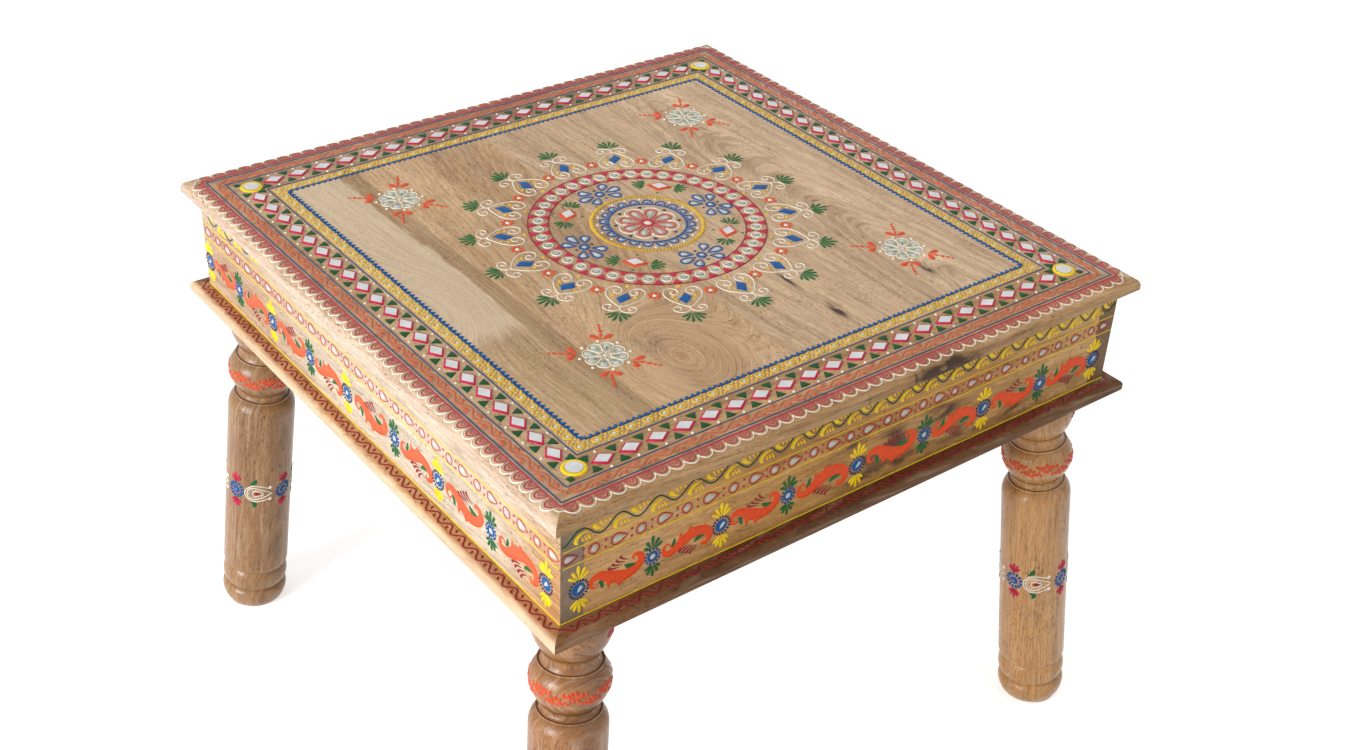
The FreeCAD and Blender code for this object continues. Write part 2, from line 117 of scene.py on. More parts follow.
class NodeSheet:
    # the nodes of a material or a world; each method adds a node and gives its output

    def __init__(self, name, kind=bpy.data.materials):
        self.owner = kind.new(name)
        self.owner.use_nodes = True
        self.tree = self.owner.node_tree
        self.surface = self.tree.nodes.get("Principled BSDF")

    def link(self, share, socket):
        self.tree.links.new(share.socket, socket)

    def add(self, kind, inputs=(), output=0, **settings):
        node = self.tree.nodes.new(kind)
        for key, setting in settings.items():
            setattr(node, key, setting)
        for key, source in inputs.items() if isinstance(inputs, dict) else enumerate(inputs):
            if isinstance(source, Share):
                self.link(source, node.inputs[key])
            else:
                node.inputs[key].default_value = source
        return Share(self, node.outputs[output])

    def place(self, kind="Object"):
        return self.add("ShaderNodeTexCoord", output=kind)

    def sums(self, operation, *inputs, clamp=False):
        return self.add("ShaderNodeMath", inputs, operation=operation, use_clamp=clamp)

    def vectors(self, operation, *inputs, output=0):
        return self.add("ShaderNodeVectorMath", inputs, output, operation=operation)

    def split(self, vector):
        node = self.add("ShaderNodeSeparateXYZ", [vector]).socket.node
        return {axis: Share(self, node.outputs[axis]) for axis in "XYZ"}

    def noise(self, place, scale=1.0, detail=3.0, roughness=0.6):
        return self.add("ShaderNodeTexNoise", {
            "Vector": place, "Scale": scale, "Detail": detail, "Roughness": roughness})

    def steps(self, share, *stops):
        # a grey ramp through (position, level) stops
        found = self.add("ShaderNodeValToRGB", [share])
        ramp = found.socket.node.color_ramp
        while len(ramp.elements) < len(stops):
            ramp.elements.new(0.5)
        for element, (position, level) in zip(ramp.elements, stops):
            element.position = position
            element.color = (level, level, level, 1)
        return found

    def bell(self, square):
        # 1 where the square of a distance is 0, and fading out beyond
        return math.e ** (square * -1)

    def cloud(self, place, scale):
        return self.steps(self.noise(place, scale), (0.3, 0.0), (0.7, 1.0))

    def mix(self, share, first, second, blend="MIX"):
        return self.add("ShaderNodeMix", {0: share, 6: first, 7: second}, 2, data_type="RGBA",
                        blend_type=blend)

    def finish(self, base, roughness, bumps=None, **steady):
        # bumps are what raises the surface, how strongly it shows, and a depth in millimetres
        self.link(base, self.surface.inputs["Base Color"])
        self.link(roughness, self.surface.inputs["Roughness"])
        if bumps:
            height, strength, depth = bumps
            normal = self.add("ShaderNodeBump", {
                "Strength": strength, "Distance": depth * mm, "Height": height})
            self.link(normal, self.surface.inputs["Normal"])
        for key, setting in steady.items():
            self.surface.inputs[key.replace("_", " ")].default_value = setting
        return self.owner


# Wood. Each board is cut from its own place in a log: rings round a pith that drifts along the grain
# give the arched figure, and noise stretched along the grain gives streaks, grain lines and pores.
# Places are in millimetres; pith is across the grain and upwards, a knot is across, along and size.
# sapFade is how fast sapwood comes up over a millimetre, across the grain and along it.
woodLook = dict(
    light=(206, 171, 128), dark=(168, 134, 98), sapwood=(226, 204, 174), stain=(70, 50, 36),
    endGrain=(96, 70, 46), knotWood=(170, 112, 76), shade=(158, 134, 108), pore=(100, 78, 58),
    pith=(0, 430), drift=0.07, lean=(0, 0), ringGap=7, shift=(0, 0, 0),
    rings=0.24, streaks=0.36, lines=0.36, fine=0.42, pores=0.5, dashes=0.6,
    pale=0.22, sap=0.85, cores=0.5, ends=0.9, knotSquash=0.72, coreEdge=60, sapFade=(0.3, 0.05),
    wander=7, ragged=46, roughness=0.5, bump=0.4, specular=0.2,
)
# Marks in the grain, from noise: its blots' width and length, its detail and roughness, the levels
# between which it comes to show, and how much shows below them. The bent ones follow the rings.
woodMarks = dict(
    broad=(55, 600, 3, 0.5, 0.32, 0.7, 0.0), streaks=(6, 260, 3, 0.6, 0.4, 0.72, 0.0),
    lines=(1.5, 40, 3, 0.65, 0.42, 0.68, 0.0), pale=(2.2, 60, 2, 0.6, 0.5, 0.72, 0.0),
    fine=(0.7, 16, 2, 0.6, 0.4, 0.7, 0.0), pores=(0.8, 6, 2, 0.5, 0.6, 0.68, 0.0),
    dashes=(0.75, 4.5, 1, 0.5, 0.56, 0.64, 0.0), ringPatches=(60, 300, 2, 0.5, 0.35, 0.62, 0.15),
    porePatches=(14, 150, 2, 0.5, 0.4, 0.6, 0.2), dashPatches=(24, 70, 3, 0.5, 0.4, 0.6, 0.15),
    stainPatches=(9, 26, 4, 0.6, 0.4, 0.6, 0.15),
)
bentMarks = ("streaks", "lines", "pale", "fine", "pores")
# How the rings wander slowly and quickly, the ragged edge of sapwood, and specks in sawn ends
woodBlots = dict(slow=(110, 450, 3), quick=(22, 160), ragged=(26, 130, 4, 0.6), specks=(5, 5, 3, 0.6))
ringSteps = ((0.0, 0.3), (0.14, 0.0), (0.5, 0.12), (0.84, 0.7), (0.93, 1.0), (1.0, 0.3))
woodTints = ("light", "dark", "sapwood", "stain", "endGrain", "knotWood", "shade", "pore")
grainAxes = {"X": "YXZ", "Y": "XYZ", "Z": "XZY"}  # across, along, deep


def makeWood(name, grain="Y", knots=(), toneAndPaintedLightWashes=(), stains=(), sapEdge=None, **changes):
    # a wash is a broad tint, some of the wood's own tone and some painted light or painted shade, and a
    # stain a broken dark mark, each at a place with a size and a depth
    look = {**woodLook, **changes}
    tint = {key: colour(*look[key]) for key in woodTints}
    sheet = NodeSheet(name)
    place = sheet.add("ShaderNodeVectorMath", {0: sheet.place(), "Scale": 1 / mm}, operation="SCALE")
    parts = sheet.split(place)
    across, along, deep = (parts[axis] for axis in grainAxes[grain])
    if any(look["lean"]):
        across = across + along * look["lean"][0]
        deep = deep + along * look["lean"][1]
    board = sheet.vectors("ADD", sheet.add("ShaderNodeCombineXYZ", [across, along, deep]), look["shift"])

    def blots(ground, wide, long, detail=2.0, roughness=0.5):
        # noise whose blots are so wide across the grain and so long along it
        size = (1 / wide, 1 / long, 1 / wide)
        return sheet.noise(sheet.vectors("MULTIPLY", ground, size), 1, detail, roughness)

    def blob(centre, size):
        # 1 at its centre, and fading out over its size
        away = sheet.vectors("DIVIDE", sheet.vectors("SUBTRACT", place, centre), size)
        return sheet.bell(sheet.vectors("DOT_PRODUCT", away, away, output=1))

    wander = ((blots(board, *woodBlots["slow"]) - 0.5) * (look["wander"] * 4)
              + (blots(board, *woodBlots["quick"]) - 0.5) * (look["wander"] * 0.5))
    leftRight = across - look["pith"][0] + wander
    upDown = deep - look["pith"][1] + along * look["drift"] + wander
    radius = sheet.sums("SQRT", leftRight * leftRight + upDown * upDown)
    cores = []
    for knotAcross, knotAlong, knotSize in knots:
        dx = across + wander - knotAcross
        dy = (along - knotAlong) * look["knotSquash"]
        reach = sheet.sums("SQRT", dx * dx + dy * dy)
        away = reach / knotSize
        near = sheet.bell(away * away)
        radius = radius * (1 - near) + reach * near
        cores.append(near ** look["coreEdge"])
    flow = sheet.add("ShaderNodeCombineXYZ", [radius + across * 0.3, along, deep * 0.3])
    flow = sheet.vectors("ADD", flow, look["shift"])

    marks = {"rings": sheet.steps(sheet.sums("FRACT", radius / look["ringGap"]), *ringSteps)}
    for kind, (wide, long, detail, roughness, first, last, least) in woodMarks.items():
        ground = flow if kind in bentMarks else board
        marks[kind] = sheet.steps(blots(ground, wide, long, detail, roughness), (first, least), (last, 1.0))
    for kind, patches in (("rings", "ringPatches"), ("pores", "porePatches"), ("dashes", "dashPatches")):
        marks[kind] = marks[kind] * marks[patches]

    base = sheet.mix(marks["broad"], tint["light"], tint["dark"])
    if sapEdge is not None:
        edge, end = sapEdge
        ragged = (blots(board, *woodBlots["ragged"]) - 0.5) * look["ragged"]
        sap = sheet.sums("MINIMUM", *(
            sheet.sums("MULTIPLY", inside + ragged, fade, clamp=True)
            for inside, fade in zip((edge - across, along - end), look["sapFade"])))
        base = sheet.mix(sap * look["sap"], base, tint["sapwood"])
    for centre, size, depth, wash in toneAndPaintedLightWashes:
        base = sheet.mix(blob(centre, size) * depth, base, colour(*wash))
    for kind in ("rings", "streaks", "lines", "fine", "pores", "dashes"):
        share = marks[kind]
        if sapEdge is not None and kind != "rings":
            share = share * (1 - sap * 0.5)
        base = sheet.mix(share * look[kind], base, tint["pore" if kind == "pores" else "shade"], "MULTIPLY")
    base = sheet.mix(marks["pale"] * look["pale"], base, tint["sapwood"])
    for core in cores:
        base = sheet.mix(core * look["cores"], base, tint["knotWood"])
    for centre, size, depth in stains:
        mark = sheet.sums("MULTIPLY", blob(centre, size) * marks["stainPatches"], depth, clamp=True)
        base = sheet.mix(mark, base, tint["stain"])

    # sawn ends soak up the finish and turn dark
    facing = sheet.sums("ABSOLUTE", sheet.split(sheet.place("Normal"))[grainAxes[grain][1]])
    specks = sheet.mix(blots(board, *woodBlots["specks"]) * 0.4, tint["endGrain"], tint["dark"])
    base = sheet.mix(sheet.steps(facing, (0.8, 0.0), (0.95, 1.0)) * look["ends"], base, specks)

    height = marks["pale"] * 0.3 - (marks["pores"] + (marks["lines"] + marks["dashes"]) * 0.3)
    gloss = marks["lines"] * 0.1 + look["roughness"]
    return sheet.finish(base, gloss, (height, look["bump"], 0.3), Specular_IOR_Level=look["specular"])


def dress(nodeName, material):
    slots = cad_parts[nodeName].data.materials
    slots.clear()
    slots.append(material)


boards = {
    "top_plank_1": dict(
        sapEdge=(-175, -86), pith=(-310, 400), drift=0.06, ringGap=5, shift=(300, 100, 0), rings=0.14,
        light=(228, 196, 154), dark=(189, 156, 116), knots=[(-243, -12, 46)]),
    "top_plank_2": dict(
        pith=(30, 380), drift=0.1, shift=(1700, 400, 0), ringGap=5, rings=0.11,
        light=(236, 200, 156), dark=(190, 152, 112), knots=[(-99, -178, 40)],
        toneAndPaintedLightWashes=[((-84, 20, 474), (50, 70, 30), 0.6, (166, 134, 100))],
        stains=[((-114, -150, 474), (20, 16, 9), 0.35)]),
    "top_plank_3": dict(
        pith=(-40, 380), drift=0.06, shift=(2900, 1200, 0), light=(237, 206, 168), dark=(212, 181, 145),
        stains=[((43, -134, 474), (2.4, 17, 9), 1.2), ((46, -194, 474), (4.5, 15, 9), 1.3)]),
    "top_plank_4": dict(
        pith=(176, 434), drift=0.09, shift=(4100, 2200, 0), ringGap=8, rings=0.34,
        light=(244, 214, 178), dark=(215, 184, 148), stains=[((155, -187, 474), (3.8, 14, 9), 1.3)]),
    "top_rail_front": dict(
        grain="X", pith=(-270, 420), drift=0.05, shift=(5300, 3100, 0), wander=10,
        light=(217, 176, 126), dark=(184, 144, 98),
        stains=[((72, -300, 464), (30, 7, 8), 3.2), ((-13, -299, 463), (0.8, 8, 10), 1.8),
                ((44, -299, 462), (0.9, 8, 9), 1.8), ((36, -299, 466), (1.2, 8, 6), 1.6)]),
    "top_rail_right": dict(
        pith=(300, 420), drift=0.05, shift=(6100, 3600, 0), light=(224, 194, 160), dark=(192, 162, 130)),
    "top_rail_back": dict(
        grain="X", pith=(280, 420), drift=-0.05, shift=(7700, 4400, 0), light=(216, 184, 150),
        dark=(184, 152, 120)),
    "top_rail_left": dict(
        pith=(-260, 420), drift=0.04, shift=(8300, 5200, 0), light=(228, 197, 156), dark=(202, 168, 128),
        toneAndPaintedLightWashes=[((-276, 0, 474), (6.5, 3000, 40), 0.5, (192, 130, 86)),
                # painted highlight: the second wash is a pale pinkish band along the rounded nose, where the
                # lamp on the left shines on the rim
                ((-301, 0, 463), (7, 3000, 12), 0.8, (238, 217, 204))]),
    "apron_front": dict(
        grain="X", pith=(-262, 402), shift=(1200, 7100, 0), ringGap=6, light=(228, 174, 100),
        dark=(200, 146, 80), stain=(74, 48, 28),
        toneAndPaintedLightWashes=[((-230, -288, 402), (80, 9, 80), 0.8, (250, 200, 138)),
                ((248, -288, 410), (70, 9, 70), 0.6, (248, 206, 140))],
        stains=[((spot, -288, level), (wide, 9, high), depth) for spot, level, wide, high, depth in (
            (-14, 420, 20, 6, 1.1), (30, 406, 16, 12, 1.2), (2, 381, 18, 5, 1.3), (20, 396, 40, 16, 0.7),
            (44, 381, 20, 6, 1.1), (88, 413, 17, 10, 1.2), (126, 378, 20, 6, 1.2), (175, 380, 16, 6, 1.0),
            (120, 385, 170, 30, 0.5), (-190, 386, 14, 3, 0.5), (230, 388, 30, 8, 0.6))]),
    "apron_back": dict(grain="X", pith=(262, 400), drift=-0.05, shift=(2800, 8100, 0)),
    # painted light: the left apron's near-white light and dark colours are lighter than the other aprons'
    # because that side faces the lamp on the left
    "apron_left": dict(
        pith=(-262, 402), drift=0.05, shift=(3400, 9300, 0), light=(244, 234, 218), dark=(226, 210, 186),
        toneAndPaintedLightWashes=[((-288, 220, 404), (9, 130, 60), 0.9, (192, 154, 118)),
                ((-288, 60, 431), (9, 300, 9), 0.5, (206, 172, 150)),
                ((-288, -282, 396), (9, 50, 80), 0.9, (202, 144, 80))]),
    "apron_right": dict(
        pith=(262, 400), drift=-0.06, shift=(4600, 10700, 0), light=(206, 170, 124), dark=(174, 138, 98)),
    # partly painted shade: the moulding's red-brown is its own stain, but the front is darker than the back
    # and right as painted shade, since that face lies in shadow; the lighter wash at its left end is painted
    # light by the lit left corner
    "base_moulding_front": dict(
        grain="X", pith=(-260, 330), shift=(5500, 11300, 0), light=(126, 86, 50), dark=(92, 61, 35),
        toneAndPaintedLightWashes=[((-280, -296, 366), (80, 30, 20), 0.75, (166, 118, 76))]),
    "base_moulding_right": dict(
        pith=(260, 330), shift=(6500, 12300, 0), light=(156, 112, 72), dark=(120, 83, 53)),
    "base_moulding_back": dict(
        grain="X", pith=(260, 330), shift=(7500, 13300, 0), light=(156, 112, 72), dark=(120, 83, 53)),
    # painted light: the left moulding is lighter than the others because that side faces the lamp on the
    # left; its sapwood edge is the wood's own
    "base_moulding_left": dict(
        pith=(-260, 330), shift=(8500, 14300, 0), light=(228, 176, 124), dark=(196, 140, 94),
        sapEdge=(-298, -400), ragged=6, sapwood=(232, 206, 174)),
}
for label, look in boards.items():
    dress(label, makeWood(label + "_wood", **look))

legWood = dict(light=(188, 146, 102), dark=(152, 112, 74), roughness=0.26, specular=0.45, ringGap=5,
               rings=0.12, lines=0.45, fine=0.5, pores=0.7, dashes=0.8, streaks=0.3, wander=4, drift=0.02)
legTones = dict(
    front_left=dict(light=(188, 133, 82), dark=(148, 100, 58)),
    front_right=dict(light=(226, 170, 106), dark=(184, 132, 78),
                     toneAndPaintedLightWashes=[((280, -280, 90), (70, 70, 90), 0.4, (246, 192, 124))]),
    back_right=dict(),
    back_left=dict(light=(190, 146, 98), dark=(156, 114, 74)),
)
legLean = 0.089
for order, (label, (xSign, ySign)) in enumerate(corners.items()):
    log = dict(pith=(xSign * 240, ySign * 190), lean=(xSign * legLean, ySign * legLean),
               shift=(3100 * order, 5700 * order, 1300 * order))
    dress("leg_" + label, makeWood(f"leg_{label}_wood", "Z", **{**legWood, **log, **legTones[label]}))

innerLook = dict(light=(212, 184, 146), dark=(188, 158, 120), roughness=0.7, streaks=0.3)
innerWood = makeWood("inner_wood", "X", **innerLook)
innerWoodAcross = makeWood("inner_wood_across", shift=(3000, 1000, 0), **innerLook)
blockWood = makeWood("block_wood", "Z", light=(204, 174, 134), dark=(172, 140, 102), roughness=0.7,
                     shift=(1000, 7000, 0))
for label in ("batten_front", "batten_back", "glue_strip_front", "glue_strip_back"):
    dress(label, innerWood)
for label in ("glue_strip_left", "glue_strip_right"):
    dress(label, innerWoodAcross)
for label in corners:
    dress("corner_block_" + label, blockWood)
print("wood done")


# Mirror chips and steel
def makeMirror():
    sheet = NodeSheet("mirror_chip")
    cloud = sheet.cloud(sheet.place(), 90)
    base = sheet.mix(cloud, colour(198, 200, 200), colour(220, 221, 220))
    return sheet.finish(base, cloud * 0.08 + 0.12, Metallic=0.7)


def makeSteel():
    sheet = NodeSheet("zinc_steel")
    brushed = sheet.noise(sheet.vectors("MULTIPLY", sheet.place(), (300, 300, 2000)))
    base = sheet.mix(brushed, colour(150, 150, 152), colour(196, 196, 196))
    return sheet.finish(base, brushed * 0.2 + 0.28, (brushed, 0.15, 0.1), Metallic=1.0)


mirrorMaterial = makeMirror()
steelMaterial = makeSteel()
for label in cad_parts:
    if "mirrors" in label:
        dress(label, mirrorMaterial)
    elif label.endswith("screws") or label in ("hanger_bolts", "washers", "nuts"):
        dress(label, steelMaterial)


# Paint
paintColours = dict(
    crimson=(190, 36, 72), maroon=(142, 36, 46), berry=(172, 68, 78), garnet=(176, 42, 52),
    # the paler copy of orange at the end of the next line is painted light, used on the left and back aprons
    # as if washed by the lamp on the left
    rose=(190, 80, 88), slate=(62, 76, 110), orange=(236, 76, 16), apricot=(206, 92, 52),
    coral=(214, 78, 42), salmon=(192, 104, 74), yellow=(218, 178, 62), sunny=(254, 210, 30),
    ochre=(184, 138, 34), green=(4, 72, 34), leafGreen=(22, 98, 48), blue=(0, 84, 148),
    navy=(10, 38, 88), denim=(18, 80, 142), lilac=(108, 128, 164), white=(232, 224, 208),
    pearl=(198, 201, 194), sage=(172, 180, 158), moss=(96, 118, 100),
)


def makePaint(name, tint):
    sheet = NodeSheet("paint_" + name)
    place = sheet.place()
    uneven = sheet.cloud(place, 260)
    thin, thick = ([min(part * share, 1) for part in colour(*tint)[:3]] + [1] for share in (0.84, 1.12))
    brushed = sheet.noise(place, 900, 2, 0.5)
    return sheet.finish(sheet.mix(uneven, thin, thick), uneven * 0.12 + 0.3, (brushed, 0.25, 0.2),
                        Specular_IOR_Level=0.16)


paints = {name: makePaint(name, tint) for name, tint in paintColours.items()}


# Strokes of paint. A page is a list of strokes; a stroke is a colour, points on a flat page as complex
# numbers, how far each point stands out, and faces. Pages are laid on the wood afterwards.
def ridge(page, tint, points, width, height=0.5, closed=False):
    # a piped line, whose width may change along it
    points = np.asarray(points, complex)
    count = len(points)
    widths = np.broadcast_to(np.asarray(width, float), count)
    direction = np.roll(points, -1) - np.roll(points, 1) if closed else np.gradient(points)
    side = 1j * direction / np.maximum(np.abs(direction), 1e-9)
    across = np.array([-0.5, -0.36, 0, 0.36, 0.5])
    lifts = np.array([-0.25, 0.72, 1, 0.72, -0.25])
    spread = points[:, None] + side[:, None] * across * widths[:, None]
    heights = height * np.sqrt(widths / max(widths.max(), 1e-9))[:, None] * lifts
    faces = []
    for row in range(count if closed else count - 1):
        start, following = row * 5, (row + 1) % count * 5
        for column in range(4):
            faces.append((start + column, following + column, following + column + 1, start + column + 1))
    page.append((tint, spread.ravel(), heights.ravel(), faces))


def loop(page, tint, points, width, height=0.6):
    ridge(page, tint, points, width, height, closed=True)


def line(page, tint, points, width, height=0.5):
    # a piped line with round ends
    head, tail = (end + (end - inner) / max(abs(end - inner), 1e-9) * width * 0.45
                  for end, inner in ((points[0], points[1]), (points[-1], points[-2])))
    widths = np.full(len(points) + 2, float(width))
    widths[[0, -1]] = width * 0.2
    ridge(page, tint, [head, *points, tail], widths, height)


def drop(page, tint, tip, end, width, height=0.6):
    # a teardrop: a sharp tip that swells to a round end
    share = np.linspace(0, 1, 9) ** 0.85
    profile = 2 * width * share * np.sqrt(np.maximum(1 - share ** 2, 0)) + width * 0.04
    ridge(page, tint, tip + (end - tip) * share, profile, height)


def leaf(page, tint, points, width, height=0.6):
    share = np.linspace(0, 1, len(points))
    ridge(page, tint, points, width * np.sin(math.pi * share) ** 0.8 + width * 0.05, height)


def rims(page, tint, centre, outline, levels, height, filled):
    # rings of one outline, drawn larger or smaller round a centre: (share, lift), outermost first
    outline = np.asarray(outline, complex)
    if np.sum((np.conj(outline) * np.roll(outline, -1)).imag) < 0:  # it runs clockwise
        outline = outline[::-1]
    count = len(outline)
    points = [centre + outline * share for share, lift in levels]
    lifts = [np.full(count, lift * height) for share, lift in levels]
    faces = []
    last = (len(levels) - 1) * count
    pairs = [(number, (number + 1) % count) for number in range(count)]
    for start in range(0, last, count):
        above = start + count
        faces += [(start + one, start + other, above + other, above + one) for one, other in pairs]
    if filled:
        points.append([centre])
        lifts.append([height])
        faces += [(last + one, last + other, last + count) for one, other in pairs]
    page.append((tint, np.concatenate(points), np.concatenate(lifts), faces))


def dot(page, tint, centre, radius, height=0.7):
    rims(page, tint, centre, circle(0, radius, 9), [(1, -0.2), (0.8, 0.6), (0.42, 0.95)], height, True)


def patch(page, tint, outline, height=0.6):
    # a filled shape with soft edges
    outline = np.asarray(outline, complex)
    centre = outline.mean()
    rims(page, tint, centre, outline - centre, [(1, -0.25), (0.9, 0.75), (0.55, 1)], height, True)


def chipFrame(page, tint, centre, halfLong, halfShort, reach, spin=1):
    # paint piped against the edges of a diamond chip
    outline = [halfLong * spin, halfShort * 1j * spin, -halfLong * spin, -halfShort * 1j * spin]
    levels = [(reach, -0.2), (reach - 0.06, 0.6), (reach * 0.5 + 0.5, 1), (0.95, 0.95)]
    rims(page, tint, centre, outline, levels, 1.25, False)


def spokes(count, start=0.0):
    # directions all round, one long
    return np.exp(1j * (start + turn * np.arange(count) / count))


def circle(centre, radius, count):
    return centre + radius * spokes(count)


def arc(centre, radius, first, last, count=9):
    return centre + radius * np.exp(1j * np.linspace(first, last, count))


def smooth(points, count=6):
    # a curve through the points
    points = list(points)
    framed = [2 * points[0] - points[1], *points, 2 * points[-1] - points[-2]]
    share = np.linspace(0, 1, count, endpoint=False)
    found = []
    for before, start, stop, after in zip(framed, framed[1:], framed[2:], framed[3:]):
        bend, twist = 2 * before - 5 * start + 4 * stop - after, 3 * start - before - 3 * stop + after
        found.append(start + 0.5 * ((stop - before) * share + bend * share ** 2 + twist * share ** 3))
    return np.concatenate([*found, [points[-1]]])


def dropOutline(tip, end, width, count=10):
    # the outline of a teardrop, as a closed line
    share = np.sin(np.linspace(0, math.pi / 2, count))
    half = width * share * np.sqrt(np.maximum(1 - share ** 2, 0))
    middle, side = tip + (end - tip) * share, 1j * (end - tip) / abs(end - tip)
    return np.concatenate([middle + side * half, (middle - side * half)[-2:0:-1]])


def turned(page, at=0, way=1, flip=False):
    # a page's strokes, mirrored if flip, then turned and moved
    return [(tint, at + (np.conj(points) if flip else points) * way, lifts,
             [face[::-1] for face in faces] if flip else faces) for tint, points, lifts, faces in page]


def stamp(page, motif, at=0, angle=0.0, size=1.0, flip=False, uneven=0.0):
    # copies a motif to a place on a page
    at = at + complex(vary(-uneven, uneven), vary(-uneven, uneven))
    angle = angle + vary(-uneven, uneven) * 0.08
    page += turned(motif, at, np.exp(1j * angle) * size, flip)


def fan(page, tint, root, aim, count, length, opening, width, inner=1.2):
    # slender drops that open out from a root towards aim
    for share in np.linspace(-1, 1, count):
        way = aim * np.exp(-1j * share * opening)
        reach = length * (1 - 0.28 * abs(share)) * vary(0.94, 1.06)
        drop(page, tint, root + inner * way, root + reach * way, width * vary(0.92, 1.08), 0.65)


def unevenLine(page, tint, reach, level, width, height=0.45):
    # a long straight line that wavers a little
    spots = np.linspace(-reach, reach, 60)
    waver = np.array([vary(-0.2, 0.2) for spot in spots])
    waver[0] = waver[-1] = 0
    ridge(page, tint, spots + 1j * (level + waver), width, height)


def layPaint(name, page, surface):
    # makes the piece: the page's strokes on a surface of the table
    tints = sorted({stroke[0] for stroke in page})
    points, lifts = (np.concatenate([stroke[part] for stroke in page]) for part in (1, 2))
    faces, indices = [], []
    base = 0
    for tint, spots, heights, strokeFaces in page:
        faces += [tuple(base + corner for corner in face) for face in strokeFaces]
        indices += [tints.index(tint)] * len(strokeFaces)
        base += len(spots)
    mesh = bpy.data.meshes.new(name)
    mesh.from_pydata((surface(points, lifts) * mm).tolist(), [], faces)
    for tint in tints:
        mesh.materials.append(paints[tint])
    mesh.polygons.foreach_set("material_index", indices)
    mesh.polygons.foreach_set("use_smooth", [True] * len(faces))
    mesh.update()
    item = addToScene(name, mesh)
    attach(item, "root")
    print(name, "has", len(faces), "faces")


# Surfaces that pages are laid on
def onTop(points, lifts):
    # the flat top and the rounded edge of its rim
    x, y = points.real, points.imag
    flat = table["topHalf"] - table["noseRound"]
    past = np.clip(np.maximum(np.abs(x), np.abs(y)) - flat, 0, table["noseRound"] * 0.95)
    fall = table["noseRound"] - np.sqrt(table["noseRound"] ** 2 - past ** 2)
    return np.stack([x, y, table["topHeight"] - fall + lifts], 1)


def turnedSide(degrees, x, outward, z):
    # a point on one of the four sides; 0 is the front
    cosine, sine = math.cos(math.radians(degrees)), math.sin(math.radians(degrees))
    return np.stack([x * cosine + outward * sine, x * sine - outward * cosine, z], 1)


def onApron(degrees):
    def place(points, lifts):
        return turnedSide(degrees, points.real, table["apronHalf"] + lifts, points.imag)
    return place


def onMoulding(degrees):
    # the apron is at 0, and the page below it bends over the moulding's flat and its rounded edge
    def place(points, lifts):
        flat, edge = table["mouldingFlat"], table["mouldingRound"]
        bend = np.clip((-points.imag - flat) / edge, 0, math.pi / 2)
        outward = table["apronHalf"] + np.minimum(-points.imag, flat) + (edge + lifts) * np.sin(bend)
        height = table["mouldingTop"] - edge + (edge + lifts) * np.cos(bend)
        return turnedSide(degrees, points.real, outward, height)
    return place


def onLeg(label):
    # the real part is degrees round the leg from its outward side, and the imaginary part runs down its axis
    xSign, ySign = corners[label]
    top = Vector((xSign * table["legTop"], ySign * table["legTop"], table["apronFoot"]))
    foot = Vector((xSign * table["legFoot"], ySign * table["legFoot"], 0))
    axis = (foot - top).normalized()
    outward = Vector((xSign, ySign, 0))
    outward = (outward - axis * outward.dot(axis)).normalized()
    sideways = outward.cross(axis)
    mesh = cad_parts["leg_" + label].data
    tree = BVHTree.FromPolygons([vertex.co / mm for vertex in mesh.vertices],
                                [list(face.vertices) for face in mesh.polygons])
    reach = 60

    def place(points, lifts):
        found = np.zeros((len(points), 3))
        for number, (point, lift) in enumerate(zip(points, lifts)):
            angle = math.radians(point.real)
            away = outward * math.cos(angle) + sideways * math.sin(angle)
            hit = tree.ray_cast(top + axis * point.imag + away * reach, -away)[0]
            found[number] = hit + away * lift
        return found
    return place


# The painted border of the top, drawn for one side: the real part runs along the side and the
# imaginary part is the distance from the middle of the top. The hand-drawn bands reach a little
# further on some sides than on others; the chips and their frames don't.
border = dict(
    scallops=45, scallopLine=283.4, cusp=288.6, whiteReach=294.2,
    loops=[(4.5, 8.2, 1.35), (2.4, 5.0, 1.0)],
    slateLine=280.2, waveMiddle=273.8, waveDepth=2.8, waves=22,
    outerLine=267.6, chipBand=255.5, innerLine=240.6, chipHalves=(8, 5.5), frameReach=1.36,
    dotOffset=10.4, ringBand=233.6, rings=31, rope=227.2, ropes=84,
    ringDots=[(-2.2, 3.1, 1.25), (2.2, 3.1, 1.25), (0, 0, 1.5), (0, 4.6, 1.0), (-3.0, 0.6, 0.9)],
    disc=253, discRing=8.2, reach=dict(front=0.8, right=1.6, back=1.8, left=2.4),
    sides=dict(front=(0, 20, 24.2), right=(90, 21, 23.1), back=(180, 20, 24.2), left=(270, 21, 23.1)),
)


def drawScallops(page):
    half = border["scallopLine"]
    pitch = 2 * half / border["scallops"]
    unevenLine(page, "berry", half + 0.8, half, 1.8, 0.6)
    bow = np.linspace(0, math.pi, 12)
    share = np.linspace(-1, 1, 15)
    bulge = border["cusp"] + (border["whiteReach"] - border["cusp"]) * (1 - share ** 2) ** 0.55
    for number in range(border["scallops"]):
        centre = (number + 0.5) * pitch - half + 1j * half
        wide = vary(0.93, 1.04)
        for across, deep, width in border["loops"]:
            route = centre + wide * across * np.cos(bow) + 1j * deep * np.sin(bow) ** 0.8
            line(page, "berry", route, width, 0.45)
        dot(page, "crimson", centre + 2.2j, 0.8, 0.5)
        ridge(page, "white", centre.real + pitch / 2 * share + 1j * bulge, 1.0)


